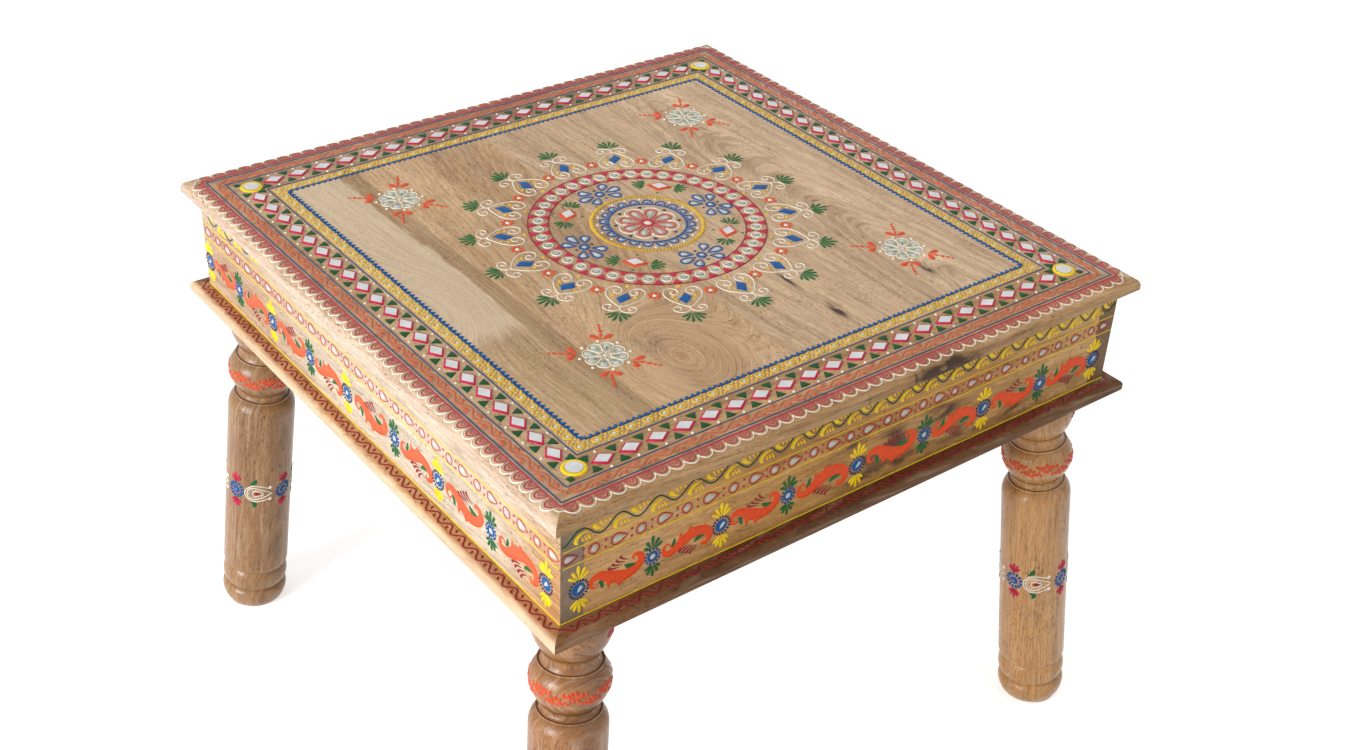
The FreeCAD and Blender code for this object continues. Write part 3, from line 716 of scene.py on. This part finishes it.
def drawWave(page):
    unevenLine(page, "slate", border["slateLine"], border["slateLine"], 1.6)
    for level in ("outerLine", "innerLine"):
        unevenLine(page, "slate", border[level], border[level], 1.4)
    half, waves = border["waveMiddle"], border["waves"]
    spots = np.linspace(-half, half, waves * 14)
    phase = np.pi * waves * (spots + half) / half
    ridge(page, "salmon", spots + 1j * (half - border["waveDepth"] * np.cos(phase)), 2.3)
    pitch = 2 * half / waves
    for number in range(1, 2 * waves):
        sign = 1 if number % 2 == 0 else -1
        centre = number * pitch / 2 - half + 1j * half
        tip = centre + 3.8 + sign * 0.9j
        drop(page, "salmon", tip, tip - 6.0 + sign * 2.2j, 4.3, 0.7)
        curl = smooth([-6.6 + sign * 3.2j, -3.6 + sign * 2.6j, -1.8 + sign * 0.4j], 3)
        line(page, "salmon", centre + curl, 1.4)
        line(page, "salmon", [centre + 1.0 + sign * 4.4j, centre + 4.6 + sign * 4.0j], 1.1, 0.45)
        dot(page, "coral", centre - 5.6 - sign * 0.4j, 1.1, 0.5)


def drawChipBand(page, chips, pitch):
    band = border["chipBand"] * 1j
    for number in range(chips):
        spot = (number - (chips - 1) / 2) * pitch + band
        chipFrame(page, "crimson", spot, *border["chipHalves"], border["frameReach"])
        for sign in (-1, 1):
            dot(page, "white", spot + sign * border["dotOffset"] * 1j + vary(-0.4, 0.4), 1.3, 0.9)
    for number in range(chips + 1):
        spot = (number - chips / 2) * pitch * 0.995 + band
        for sign in (-1, 1):
            wide = vary(4.5, 5.1)
            foot = spot + sign * 9.8j
            patch(page, "green", [spot + sign * 2.4j, foot - wide, foot + sign * 0.6j, foot + wide], 0.8)


def drawRings(page):
    half = border["ringBand"]
    pitch = 2 * half / border["rings"]
    for number in range(border["rings"]):
        spot = number * pitch - half + half * 1j
        loop(page, "yellow", circle(spot, 3.2, 14), 1.9, 0.8)
        dot(page, "pearl", spot, 2.0)
        line(page, "white", arc(spot, 0.9, -2.2, 1.2, 6), 0.7, 0.85)
        for across, level, size in border["ringDots"]:
            for sign in (-1, 1) if level else (1,):
                seed = spot + pitch / 2 + across + sign * level * 1j
                dot(page, "yellow", seed, size * vary(0.85, 1.15))
    reach = border["rope"]
    unevenLine(page, "navy", reach, reach + 0.6, 1.9, 0.4)
    ropePitch = 2 * reach / border["ropes"]
    for number in range(border["ropes"]):
        spot = (number + 0.5) * ropePitch - reach + 1j * reach
        line(page, "blue", [spot + 0.7-1.3j, spot - 0.7+1.0j], 2.9, 0.95)


def stretched(points):
    # the border reaches further on some sides
    x, y, reach = points.real, points.imag, border["reach"]
    return (x * (1 + np.where(x < 0, reach["left"], reach["right"]) / 280)
            + 1j * y * (1 + np.where(y < 0, reach["front"], reach["back"]) / 280))


for side, (degrees, *chipRow) in border["sides"].items():
    spin = np.exp(1j * math.radians(degrees))
    for label, draw, sizes in (("scallops", drawScallops, ()), ("wave", drawWave, ()),
                               ("chip_frames", drawChipBand, chipRow), ("rings", drawRings, ())):
        page = []
        draw(page, *sizes)
        page = turned(page, 0, spin, flip=True)
        if draw is not drawChipBand:
            page = [(tint, stretched(points), lifts, faces) for tint, points, lifts, faces in page]
        layPaint(f"paint_{label}_{side}", page, onTop)

cornerPage = []
for xSign, ySign in corners.values():
    spot = complex(xSign, ySign) * border["disc"]
    loop(cornerPage, "sunny", circle(spot, border["discRing"], 28), 3.4, 1.2)
    diagonal = complex(xSign, ySign)
    patch(cornerPage, "green", [spot + diagonal * 6.8, spot + complex(xSign * 12.2, ySign * 7.0),
                                spot + diagonal * 12.0, spot + complex(xSign * 7.0, ySign * 12.2)], 0.7)
    cuspNear, cuspFar = border["scallopLine"], border["cusp"]
    bend = smooth([complex(xSign * cuspNear, ySign * cuspFar), diagonal * (cuspFar - 1.2),
                   complex(xSign * cuspFar, ySign * cuspNear)], 4)
    ridge(cornerPage, "white", stretched(bend), 1.0)
layPaint("paint_corner_rings", cornerPage, onTop)
print("border painted")


# The middle ornament. Its ring of beads, its flower and its chips each have their own centre.
middle = dict(
    ringCentre=3+6.6j, flowerCentre=4.2+8.2j, chipCentre=4+8j, hearts=16, beads=40, petals=20,
    ringOuter=104.8, ringInner=86.5, ropeRadius=49.2, ropeStrands=104,
    chipRing=71, chipHalves=(7.75, 5.5), frameReach=1.5, flowerRing=122,
    blueFlowers=[68-2.8j, -4.6+66j, -71-5.8j, 4.4-70.8j],
)


def drawFlower(page):
    # eight petals inside a white lobed line
    for way in spokes(8):
        loop(page, "rose", dropOutline(4.6 * way, 24.4 * way, 9.8), 1.7, 0.7)
        drop(page, "sage", 9.5 * way, 23.0 * way, 6.4, 0.55)
        drop(page, "pearl", 13 * way, 22.4 * way, 4.4, 0.75)
        line(page, "white", arc(19.4 * way, 8.7, np.angle(way) - 1.85, np.angle(way) + 1.85, 15), 1.2, 0.55)
        dot(page, "navy", 28.6 * way * np.exp(1j * turn / 16), 1.7)
    loop(page, "crimson", circle(0, 5.0, 14), 2.2, 0.8)
    dot(page, "white", 0, 3.7, 1.0)


def drawPetalRing(page):
    loop(page, "denim", circle(0, 34.5, 80), 1.8)
    for way in spokes(middle["petals"]):
        heading = np.angle(way)
        bow = arc(38.0 * way, 4.3, heading - 1.5, heading + 1.5)
        line(page, "denim", [(35.2-4.3j) * way, *bow, (35.2+4.3j) * way], 1.4, 0.65)
        dot(page, "lilac", 37.9 * way, 3.2, 0.35)
        dot(page, "pearl", 38.6 * way, 2.2, 0.5)
        drop(page, "denim", 35.4 * way, 38.6 * way, 1.6, 0.7)
        dot(page, "white", 44.2 * way * np.exp(1j * turn / middle["petals"] / 2), 1.35, 0.8)
    reach, strands = middle["ropeRadius"], middle["ropeStrands"]
    loop(page, "ochre", circle(0, reach, 100), 2.2, 0.4)
    for way in spokes(strands):
        line(page, "yellow", [(reach - 1.1+0.7j) * way, (reach + 1.1-0.7j) * way], 1.9, 1.1)


def blueFlower():
    page = []
    for sign in (-1, 1):
        for tilt, reach in ((-0.73, 19.5), (0, 22.5), (0.73, 19.5)):
            way = sign * np.exp(1j * tilt)
            loop(page, "denim", dropOutline(7.0 * way, reach * way, 8.4), 1.3)
            drop(page, "lilac", 9.5 * way, (reach - 0.8) * way, 7.0, 0.45)
            drop(page, "pearl", 10.6 * way, (reach - 1.4) * way, 5.6, 0.75)
        dot(page, "navy", sign * 8.6j, 1.3, 0.6)
    loop(page, "denim", circle(0, 4.1, 14), 1.8, 0.7)
    dot(page, "lilac", 0, 3.2, 0.6)
    dot(page, "pearl", 0.3, 2.3, 0.9)
    return page


def drawMedallions(page):
    # four blue flowers and four framed chips between the rope and the beads
    flowers = blueFlower()
    for number, place in enumerate(middle["blueFlowers"]):
        stamp(page, flowers, place + middle["flowerCentre"], turn / 4 * number + turn / 4 + 0.1, uneven=0.4)
        diagonal = np.exp(1j * (turn / 8 + turn / 4 * number))
        chip = middle["chipRing"] * diagonal + middle["chipCentre"]
        chipFrame(page, "coral", chip, *middle["chipHalves"], middle["frameReach"], 1j * diagonal)
        for sign in (-1, 1):
            aim = sign * 1j * diagonal
            fan(page, "leafGreen", chip + 12.5 * aim, aim, 6, 14.5, 1.0, 2.2, 1.6)
            dot(page, "leafGreen", chip + diagonal * sign * 13, 1.2, 0.6)


def drawBeads(page):
    outer, inner = middle["ringOuter"], middle["ringInner"]
    centre = (outer + inner) / 2
    for radius in (inner, outer):
        loop(page, "maroon", circle(0, radius, 150), 1.2, 0.55)
    for way in spokes(middle["beads"]):
        spot = centre * way
        loop(page, "white", circle(spot, 4.4, 16), 1.1, 0.7)
        dot(page, "pearl", spot, 3.7, 0.5)
        line(page, "moss", arc(spot, 2.3, vary(2.2, 2.8), 6.4, 8), 0.8, 0.75)
        dot(page, "moss", spot + 0.4, 0.9, 0.75)
        gap = way * np.exp(1j * turn / middle["beads"] / 2)
        for triangle in ((outer - 0.4+4.7j, centre + 0.9, outer - 0.4-4.7j),
                         (inner + 0.4-4.2j, centre - 1.7, inner + 0.4+4.2j)):
            patch(page, "crimson", [corner * gap for corner in triangle], 0.7)


def heart():
    # one scroll heart; outwards is along the page's imaginary axis and its foot is on the bead ring
    page = []
    body = [38j, 5+34j, 13+25j, 16.3+16.5j, 15+9.5j, 10.5+6.3j, 5.5+8.2j, 3.4+13j, 5.5+17.2j,
            9+16.6j, 10+13.4j, 8+11.6j]
    curl = [-0.3+36j, 0.6+41.5j, 4.5+45j, 10+44.5j, 14+41j, 13+36.8j, 9+36j, 7.2+39j, 9.3+41.3j]
    for sign in (1, -1):
        for route in (smooth(body, 5), smooth(curl, 5)):
            line(page, "white", route.real * sign + 1j * route.imag, 1.05)
        dot(page, "yellow", sign * 9.4+20j, 1.9, 0.8)
        drop(page, "yellow", sign * 6.8+28j, sign * 8.6+24.4j, 2.0)
    dot(page, "yellow", 0.4+4.0j, 1.9, 0.8)
    patch(page, "blue", [6.2+24.8j, 1.4+32.4j, -6.3+22.2j, -1.4+14.6j], 0.75)
    return page


def drawHearts(page):
    oneHeart = heart()
    for angle in np.arange(middle["hearts"]) * turn / middle["hearts"]:
        way = 1j * np.exp(1j * angle)
        foot = middle["ringOuter"] * way
        stamp(page, oneHeart, foot, angle, uneven=0.6)
        fan(page, "leafGreen", foot + 45.5 * way, way, 6, 17, 1.02, 2.6, 1.4)
        flower = middle["flowerRing"] * way * np.exp(1j * turn / middle["hearts"] / 2)
        for petal in spokes(8):
            drop(page, "coral", flower + 2.0 * petal, flower + 6.0 * petal, 2.8)
        dot(page, "white", flower, 1.9, 0.9)


for label, draw, centre in (
        ("middle_flower", drawFlower, "flowerCentre"), ("petal_ring", drawPetalRing, "flowerCentre"),
        ("medallions", drawMedallions, None), ("bead_ring", drawBeads, "ringCentre"),
        ("hearts", drawHearts, "ringCentre")):
    motif, page = [], []
    draw(motif)
    stamp(page, motif, middle.get(centre, 0))
    layPaint("paint_" + label, page, onTop)


# A rosette with four sprigs towards each corner of the panel
rosettes = {"back_left": -154+163j, "back_right": 164+163j, "front_left": -150-145j, "front_right": 162-149j}


def rosette():
    page = []
    for way in spokes(8, turn / 80):
        loop(page, "white", dropOutline(3.4 * way, 18.0 * way, 10.8), 0.9)
        drop(page, "sage", 5.6 * way, 17.2 * way, 8.4, 0.35)
        drop(page, "pearl", 8.4 * way, 16.8 * way, 6.0, 0.55)
        drop(page, "moss", 6.6 * way, 12.4 * way, 1.5, 0.65)
        dot(page, "white", 20.6 * way * np.exp(1j * turn / 16), 1.5, 0.9)
    dot(page, "pearl", 0, 2.4)
    dot(page, "white", 0, 1.2, 0.95)
    for angle in (1.08, 2.5, 4.26, 5.36):
        way = np.exp(1j * angle)
        stem = 22.6 * way
        for side in (-0.92, 0.92):
            drop(page, "coral", stem, stem + vary(10.2, 11.6) * way * np.exp(1j * side), 5.4, 0.8)
        for start, reach, width in ((2.0, 9.4, 2.6), (9.6, 14.2, 3.2), (14.6, 18.8, 3.0), (19.4, 22.6, 2.4)):
            drop(page, "coral", stem + start * way, stem + reach * way, width * vary(0.85, 1.1), 0.65)
    return page


rosettePage = []
for spot in rosettes.values():
    stamp(rosettePage, rosette(), spot, uneven=0.8)
layPaint("paint_rosettes", rosettePage, onTop)
print("top painted")


# The apron's bands. The real part runs along the side and the imaginary part is the height.
apron = dict(
    reach=286.5, footLine=370.9, flowers=396.5, leafGap=65, leafSizes=(0.94, 1.1),
    lowLine=421, highLine=435.5, medallions=428.2, medallionMargin=4,
    vine=445.4, vineDepth=5.2, vineMargin=8, tight=(448, 452), tightDepth=3.0, lastTrough=449, crestGap=28,
    mouldingWaves=32, waveMiddle=6.3, waveDepth=3.3,
)
apronPlaces = dict(
    front=dict(
        flowers=[-272.5, -206.7, -143.2, -78.2, -6.7, 66.5, 135, 203, 269.5],
        crests=[-270.5, -237, -204, -170.5, -136.3, -103.8, -73, -44, -16, 12.5, 40, 67, 95.7, 124.3, 152.8,
                180.7, 208.8, 236.8, 264],
        medallions=[-280.8, -259.5, -238.3, -218.3, -198, -177, -155.8, -133.7, -112.5, -94, -74.5, -55,
                    -35.5, -17.5, 2, 22, 41, 60.5, 78.7, 96, 116, 134.5, 156, 178.7, 200, 218.7, 240, 260,
                    276],
        rise=(-200, 0, -80, 2.4), fine=(0, 0.86), rimTint="garnet", rimWidth=1.05, tints=dict(),
    ),
    left=dict(
        flowers=[-280, -220.5, -155.7, -86.7, -22.5, 55.5, 121.7, 197.5, 270],
        crests=[-281 + 33.2 * number for number in range(18)],
        medallions=[-277 + 19.85 * number for number in range(29)],
        rise=(-240, 0, -140, 7.6), fine=(0, 1.0), rimTint="rose", rimWidth=0.9,
        # painted light: on these faces the orange is swapped for its paler copy, as if lit by the lamp on
        # the left
        tints=dict(orange="apricot"),
    ),
)
apronSides = {"front": (0, "front"), "right": (90, "front"), "back": (180, "left"), "left": (270, "left")}


def scrollLeaf():
    # an orange scroll leaf with a curl at both ends, 48 long
    page = []
    spine = [-15.6-0.6j, -18.6-4.2j, -22.0-1.5j, -21.2+3.8j, -15.5+5.4j, -9+2.4j, -2.5-1.5j,
             5.5-4.6j, 13.2-4j, 19-1.2j, 22+3.5j, 20+8.5j, 16+10j, 14+8j, 15.6+6j]
    widths = [1.0, 1.8, 3.2, 5.4, 7.6, 9.6, 11.6, 11.4, 10.0, 9.0, 7.5, 5.0, 3.2, 1.8, 1.0]
    points = smooth(spine, 5)
    steps = np.linspace(0, len(spine) - 1, len(points))
    ridge(page, "orange", points, np.interp(steps, range(len(widths)), widths), 0.7)
    patch(page, "orange", [-9-1j, -7.4-10.6j, -4.6-6j, -3-1j], 0.62)
    patch(page, "orange", [-3-3j, 2-12.2j, 5.6-9.5j, 9.5-6j], 0.62)
    leaf(page, "leafGreen", smooth([-15.5+0.6j, -13-2.6j, -12.4-7.8j], 5), 3.4)
    leaf(page, "leafGreen", smooth([6.6+4.8j, 11+1.9j, 17.4+1.6j], 5), 4.0)
    for number in range(4):
        head = -7.6+8.4j + number * (3.6+2.0j)
        tail = 1.8+4.8j + number * (2.6+1.3j)
        route = smooth([head, head * 0.62 + tail * 0.38 - 0.9-0.6j, tail], 4)
        ridge(page, "maroon", route, np.linspace(2.8, 0.7, len(route)), 0.6)
    return page


def daisy(big):
    # a blue flower with a fan above and below it
    page = []
    if big:
        dot(page, "blue", 0, 6.3, 0.6)
        drop(page, "lilac", -3.4-3.8j, 3.2+3.4j, 5.4, 0.75)
        drop(page, "pearl", -2.8-3.2j, 2.8+3.0j, 4.0, 0.95)
        for way in spokes(18):
            drop(page, "navy", 6.2 * way, 9.0 * way, 1.9)
        fan(page, "sunny", 7.2j, 1j, 5, 14.6, 0.95, 3.1)
        fan(page, "sunny", -8.2j, -1j, 5, 13.8, 0.85, 2.9)
    else:
        loop(page, "blue", circle(0, 3.8, 16), 2.4)
        dot(page, "pearl", 0, 2.7, 0.8)
        for way in spokes(13):
            dot(page, "denim", 6.5 * way, 1.3, 0.6)
        fan(page, "leafGreen", 6.2j, 1j, 5, 13, 1.1, 3.1)
        fan(page, "leafGreen", -6.6j, -1j, 5, 12, 1.0, 2.9)
    return page


# A crescent and three strokes for the space under a crest of the vine and for the one over a trough
vineStrokes = dict(
    under=([6.2+1.4j, 0.6+1.0j, -3.4-1.6j, -4.6-4.6j, -3.2-7.4j],
           [(0.4-2.2j, 1.4-6.6j), (2.6-2.0j, 4.6-6.4j), (5.0-1.6j, 7.8-6.8j)]),
    over=([1.8-2.0j, -1.9-0.6j, -4.8+1.8j, -6.4+5.2j],
          [(1.4+0.2j, -0.8+5.6j), (4.6+0.8j, 3.0+5.8j), (7.6+1.8j, 6.8+5.4j)]),
)


def vineLevel(spots, places):
    first, low, last, high = places["rise"]
    share = np.clip((spots - first) / (last - first), 0, 1)
    return apron["vine"] + low + (high - low) * share


def drawVine(page, places):
    reach, crests = apron["reach"], np.array(places["crests"])
    spots = np.linspace(-reach, reach, 300)
    steps = np.interp(spots, crests, range(len(crests)))
    steps = np.where(spots < crests[0], (spots - crests[0]) / (crests[1] - crests[0]), steps)
    after = (spots - crests[-1]) / (crests[-1] - crests[-2])
    steps = np.where(spots > crests[-1], len(crests) - 1 + after, steps)
    level = vineLevel(spots, places)
    # room is short under the rim, so the vine is flatter where it is tight
    depth = np.interp(level, apron["tight"], (apron["vineDepth"], apron["tightDepth"]))
    ridge(page, "green", spots + 1j * (level + depth * np.cos(turn * steps)), 1.4)
    for order, crest in enumerate(crests):
        following = crests[order + 1] if order + 1 < len(crests) else crest + apron["crestGap"]
        for spot, sign in ((crest, 1), ((crest + following) / 2, -1)):
            height = vineLevel(spot, places)
            if abs(spot) > reach - apron["vineMargin"] or sign < 0 and height > apron["lastTrough"]:
                continue
            base = spot + 1j * height
            crescent, strokes = vineStrokes["under" if sign > 0 else "over"]
            route = smooth(crescent, 4)
            widths = np.interp(np.linspace(0, 1, len(route)), (0, 0.45, 0.8, 1), (0.6, 3.7, 4.2, 1.4))
            ridge(page, "sunny", base + route, widths * vary(0.9, 1.1), 0.75)
            for tip, end in strokes:
                drop(page, "sunny", base + tip, base + end, 1.8, 0.65)


def drawMedallionBand(page, places):
    unevenLine(page, "sunny", apron["reach"], apron["highLine"], 0.9, 0.4)
    unevenLine(page, "sunny", apron["reach"], apron["lowLine"], 0.9, 0.4)
    spots = places["medallions"]
    start, finest = places["fine"]
    for number, place in enumerate(spots):
        if abs(place) > apron["reach"] - apron["medallionMargin"]:
            continue
        size = np.interp(place, (start, apron["reach"]), (1, finest)) * vary(0.94, 1.04)
        spot = place + 1j * (apron["medallions"] + vary(-0.4, 0.4))
        rim, width = places["rimTint"], places["rimWidth"]
        if number % 2 == 0:
            outline = dropOutline(spot + 8.0 * size, spot - 6.0 * size, 9.4 * size, 12)
            loop(page, rim, outline, width)
            drop(page, "pearl", spot + 4.8 * size, spot - 4.6 * size, 5.6 * size, 0.7)
        else:
            loop(page, rim, circle(spot, 4.5 * size, 18), width)
            dot(page, "pearl", spot, 2.8 * size, 0.75)
        if number + 1 < len(spots):
            between = (place + spots[number + 1]) / 2 + (1.6 if number % 2 == 0 else -0.6)
            between += 1j * apron["medallions"]
            for sign in (-1, 1):
                dot(page, rim, between + sign * 3.2j, 1.25, 0.6)


def drawMainBand(page, places):
    unevenLine(page, "sunny", apron["reach"] + 1.5, apron["footLine"], 1.1, 0.5)
    daisies, scroll = (daisy(True), daisy(False)), scrollLeaf()
    level = 1j * apron["flowers"]
    spots = places["flowers"]
    for number, place in enumerate(spots):
        stamp(page, daisies[number % 2], place + level, uneven=0.5)
    for number, (start, stop) in enumerate(zip(spots, spots[1:])):
        size = np.clip((stop - start) / apron["leafGap"], *apron["leafSizes"])
        sway = -0.6j if number % 2 == 0 else 0.6j
        stamp(page, scroll, (start + stop) / 2 + level + sway, size=size, flip=number % 2 == 1, uneven=0.5)


def drawMoulding(page):
    waves, reach = apron["mouldingWaves"], table["apronHalf"] + 3
    spots = np.linspace(-reach, reach, waves * 12)
    phase = np.pi * waves * (spots + reach) / reach
    ridge(page, "maroon", spots + 1j * (apron["waveMiddle"] - apron["waveDepth"] * np.cos(phase)), 1.6)
    pitch = 2 * reach / waves
    for number in range(waves):
        crest, trough = number * pitch - reach, (number + 0.5) * pitch - reach
        if number:
            drop(page, "maroon", crest + 6.0j - 1.5, crest + 9.4j + 1.2, 2.2)
        drop(page, "maroon", trough + 6.2j + 1.5, trough + 2.8j - 1.2, 2.2)


apronBands = (("vine", drawVine), ("medallion_band", drawMedallionBand), ("main_band", drawMainBand))
for side, (degrees, key) in apronSides.items():
    tints = apronPlaces[key]["tints"]
    for label, draw in apronBands:
        page = []
        draw(page, apronPlaces[key])
        # colours listed for a face are swapped for their painted-light copies
        page = [(tints.get(stroke[0], stroke[0]), *stroke[1:]) for stroke in page]
        layPaint(f"paint_{label}_{side}", page, onApron(degrees))
    page = []
    drawMoulding(page)
    layPaint(f"paint_moulding_{side}", turned(page, flip=True), onMoulding(degrees))
print("apron painted")


# Legs: sprigs on the cup, a garland on the ball, and a band of flowers and almonds on the column.
# Starts are degrees round the leg for the band's first flower.
legPaint = dict(
    bandLevel=206, garlandLevel=75, cupLevel=26, garlandCount=14, flowerCount=4, perDegree=0.55,
    almondShift=-2.6, cupSprigs=(110, 290),
    starts=dict(front_left=-35, front_right=-127, back_right=20, back_left=66),
)


def legFlower():
    page = []
    dot(page, "denim", 0, 4.6, 0.5)
    dot(page, "lilac", 0, 2.0, 0.8)
    for way in spokes(13, 0.2):
        drop(page, "blue", 4.6 * way, 9.4 * way, 3.2, 0.7)
    for sign in (1, -1):
        fan(page, "crimson", sign * 8.6j, sign * 1j, 5, 12.5, 0.72, 2.6)
        fan(page, "maroon", sign * 8.2j, sign * 1j, 2, 8.5, 0.3, 1.8)
    return page


def almond():
    page = []
    for sign in (-1, 1):
        route = smooth([-12.6+0j, -10.4+5.2j, -4.4+9.2j, 3.2+9.0j, 11.0+6.4j], 5)
        ridge(page, "white", route.real + 1j * route.imag * sign, 1.3, 0.45)
        dot(page, "white", 12.6+7.0j * sign, 2.1, 0.6)
    loop(page, "white", dropOutline(14.4+0j, -10.0+0j, 13.6, 14), 1.2, 0.65)
    loop(page, "white", dropOutline(5.8+0j, -4.6+0j, 6.4, 10), 1.0)
    drop(page, "maroon", 4.6+0j, -3.2+0j, 3.4, 0.7)
    for way in spokes(16):
        dot(page, "white", -1.2 + 7.0 * way.real + 4.5j * way.imag, 0.65, 0.6)
    leaf(page, "leafGreen", smooth([-7.4+10.2j, -3.2+13.6j, -1.8+18j], 5), 4.8)
    leaf(page, "leafGreen", smooth([-6.6-10.2j, -2.2-13.0j, -4.2-17.5j], 5), 4.6)
    return page


def drawGarland(page):
    step = 360 / legPaint["garlandCount"] * legPaint["perDegree"]
    for number in range(legPaint["garlandCount"]):
        sway = 2.4j if number % 2 == 0 else -2.4j
        spot = number * step + sway
        for way in spokes(6, vary(0, 1)):
            drop(page, "coral", spot + 0.8 * way, spot + 5.2 * way, 3.3)
        for sign in (-1, 1):
            root = number * step + step / 2 + sign * 1.5j
            for tilt in (-0.7, 0.5):
                drop(page, "coral", root, root + sign * 4.8j * np.exp(1j * tilt), 2.8, 0.55)
        stem = smooth([spot + 4.4, number * step + step / 2, (number + 1) * step - 4.4 - sway], 3)
        line(page, "salmon", stem, 1.0, 0.4)


def drawLeg(start):
    scale = legPaint["perDegree"]
    band, garland, cup = [], [], []
    gap = 360 / legPaint["flowerCount"] * scale
    for number in range(legPaint["flowerCount"]):
        stamp(band, legFlower(), number * gap, uneven=0.5)
        stamp(band, almond(), (number + 0.5) * gap + legPaint["almondShift"], uneven=0.5)
    drawGarland(garland)
    for place in legPaint["cupSprigs"]:
        fan(cup, "crimson", place * scale - 4j, 1j, 5, 9.5, 0.9, 2.6)
    bands = ((band, "bandLevel"), (garland, "garlandLevel"), (cup, "cupLevel"))
    return [(tint, points.real / scale + start + 1j * (legPaint[level] - points.imag), lifts, faces)
            for page, level in bands for tint, points, lifts, faces in page]


for label in corners:
    layPaint("paint_leg_" + label, drawLeg(legPaint["starts"][label]), onLeg(label))
print("legs painted")


# Floor, light and background
stageLook = dict(
    floorSize=14, floorGlow=0.6, farGlow=1, near=2, far=5, world=0.45,
    key=dict(place=(-3.2, -0.3, 1.3), size=1.4, power=102),
    fill=dict(place=(1.4, -3.0, 1.8), size=2.5, power=14),
    top=dict(place=(0.2, 0.6, 3.0), size=2.6, power=19),
    lampAim=(0, 0, 0.35),
)


def seenDirectly(sheet, *kinds):
    # 1 for the kinds of ray that meet the background itself
    path = sheet.add("ShaderNodeLightPath").socket.node
    seen, *others = (Share(sheet, path.outputs[kind]) for kind in kinds)
    for other in others:
        seen = sheet.sums("MAXIMUM", seen, other)
    return seen


def makeFloor():
    half = stageLook["floorSize"] / 2
    mesh = bpy.data.meshes.new("floor")
    rim = [(-half, -half, 0), (half, -half, 0), (half, half, 0), (-half, half, 0)]
    mesh.from_pydata(rim, [], [(0, 1, 2, 3)])
    floor = addToScene("floor", mesh)
    sheet = NodeSheet("floor")
    for key, setting in (("Base Color", (0.8, 0.8, 0.8, 1)), ("Roughness", 1), ("Specular IOR Level", 0)):
        sheet.surface.inputs[key].default_value = setting
    # far from the table it glows more, so that its edge is lost in the white
    away = sheet.vectors("LENGTH", sheet.place(), output=1)
    level = sheet.add("ShaderNodeMapRange", {
        "Value": away, "From Min": stageLook["near"], "From Max": stageLook["far"],
        "To Min": stageLook["floorGlow"], "To Max": stageLook["farGlow"]})
    seen = seenDirectly(sheet, "Is Camera Ray", "Is Glossy Ray")
    glow = sheet.add("ShaderNodeEmission", {"Strength": seen * level})
    both = sheet.add("ShaderNodeAddShader", [Share(sheet, sheet.surface.outputs[0]), glow])
    sheet.link(both, sheet.tree.nodes["Material Output"].inputs["Surface"])
    mesh.materials.append(sheet.owner)


def makeWorld():
    sheet = NodeSheet("studio", bpy.data.worlds)
    bpy.context.scene.world = sheet.owner
    back = sheet.tree.nodes["Background"]
    back.inputs["Color"].default_value = (1, 1, 1, 1)
    seen = seenDirectly(sheet, "Is Camera Ray", "Is Glossy Ray", "Is Transmission Ray")
    level = sheet.add("ShaderNodeMapRange", {"Value": seen, "To Min": stageLook["world"], "To Max": 1})
    sheet.link(level, back.inputs["Strength"])


def makeLamp(name):
    look = stageLook[name]
    data = bpy.data.lights.new(name, "AREA")
    data.shape, data.size, data.energy = "SQUARE", look["size"], look["power"]
    lamp = addToScene(name, data)
    lamp.location = look["place"]
    lamp.rotation_euler = (Vector(stageLook["lampAim"]) - lamp.location).to_track_quat("-Z", "Y").to_euler()


makeFloor()
makeWorld()
for lampName in ("key", "fill", "top"):
    makeLamp(lampName)
bpy.context.scene.view_settings.view_transform = "Standard"
print("stage set")
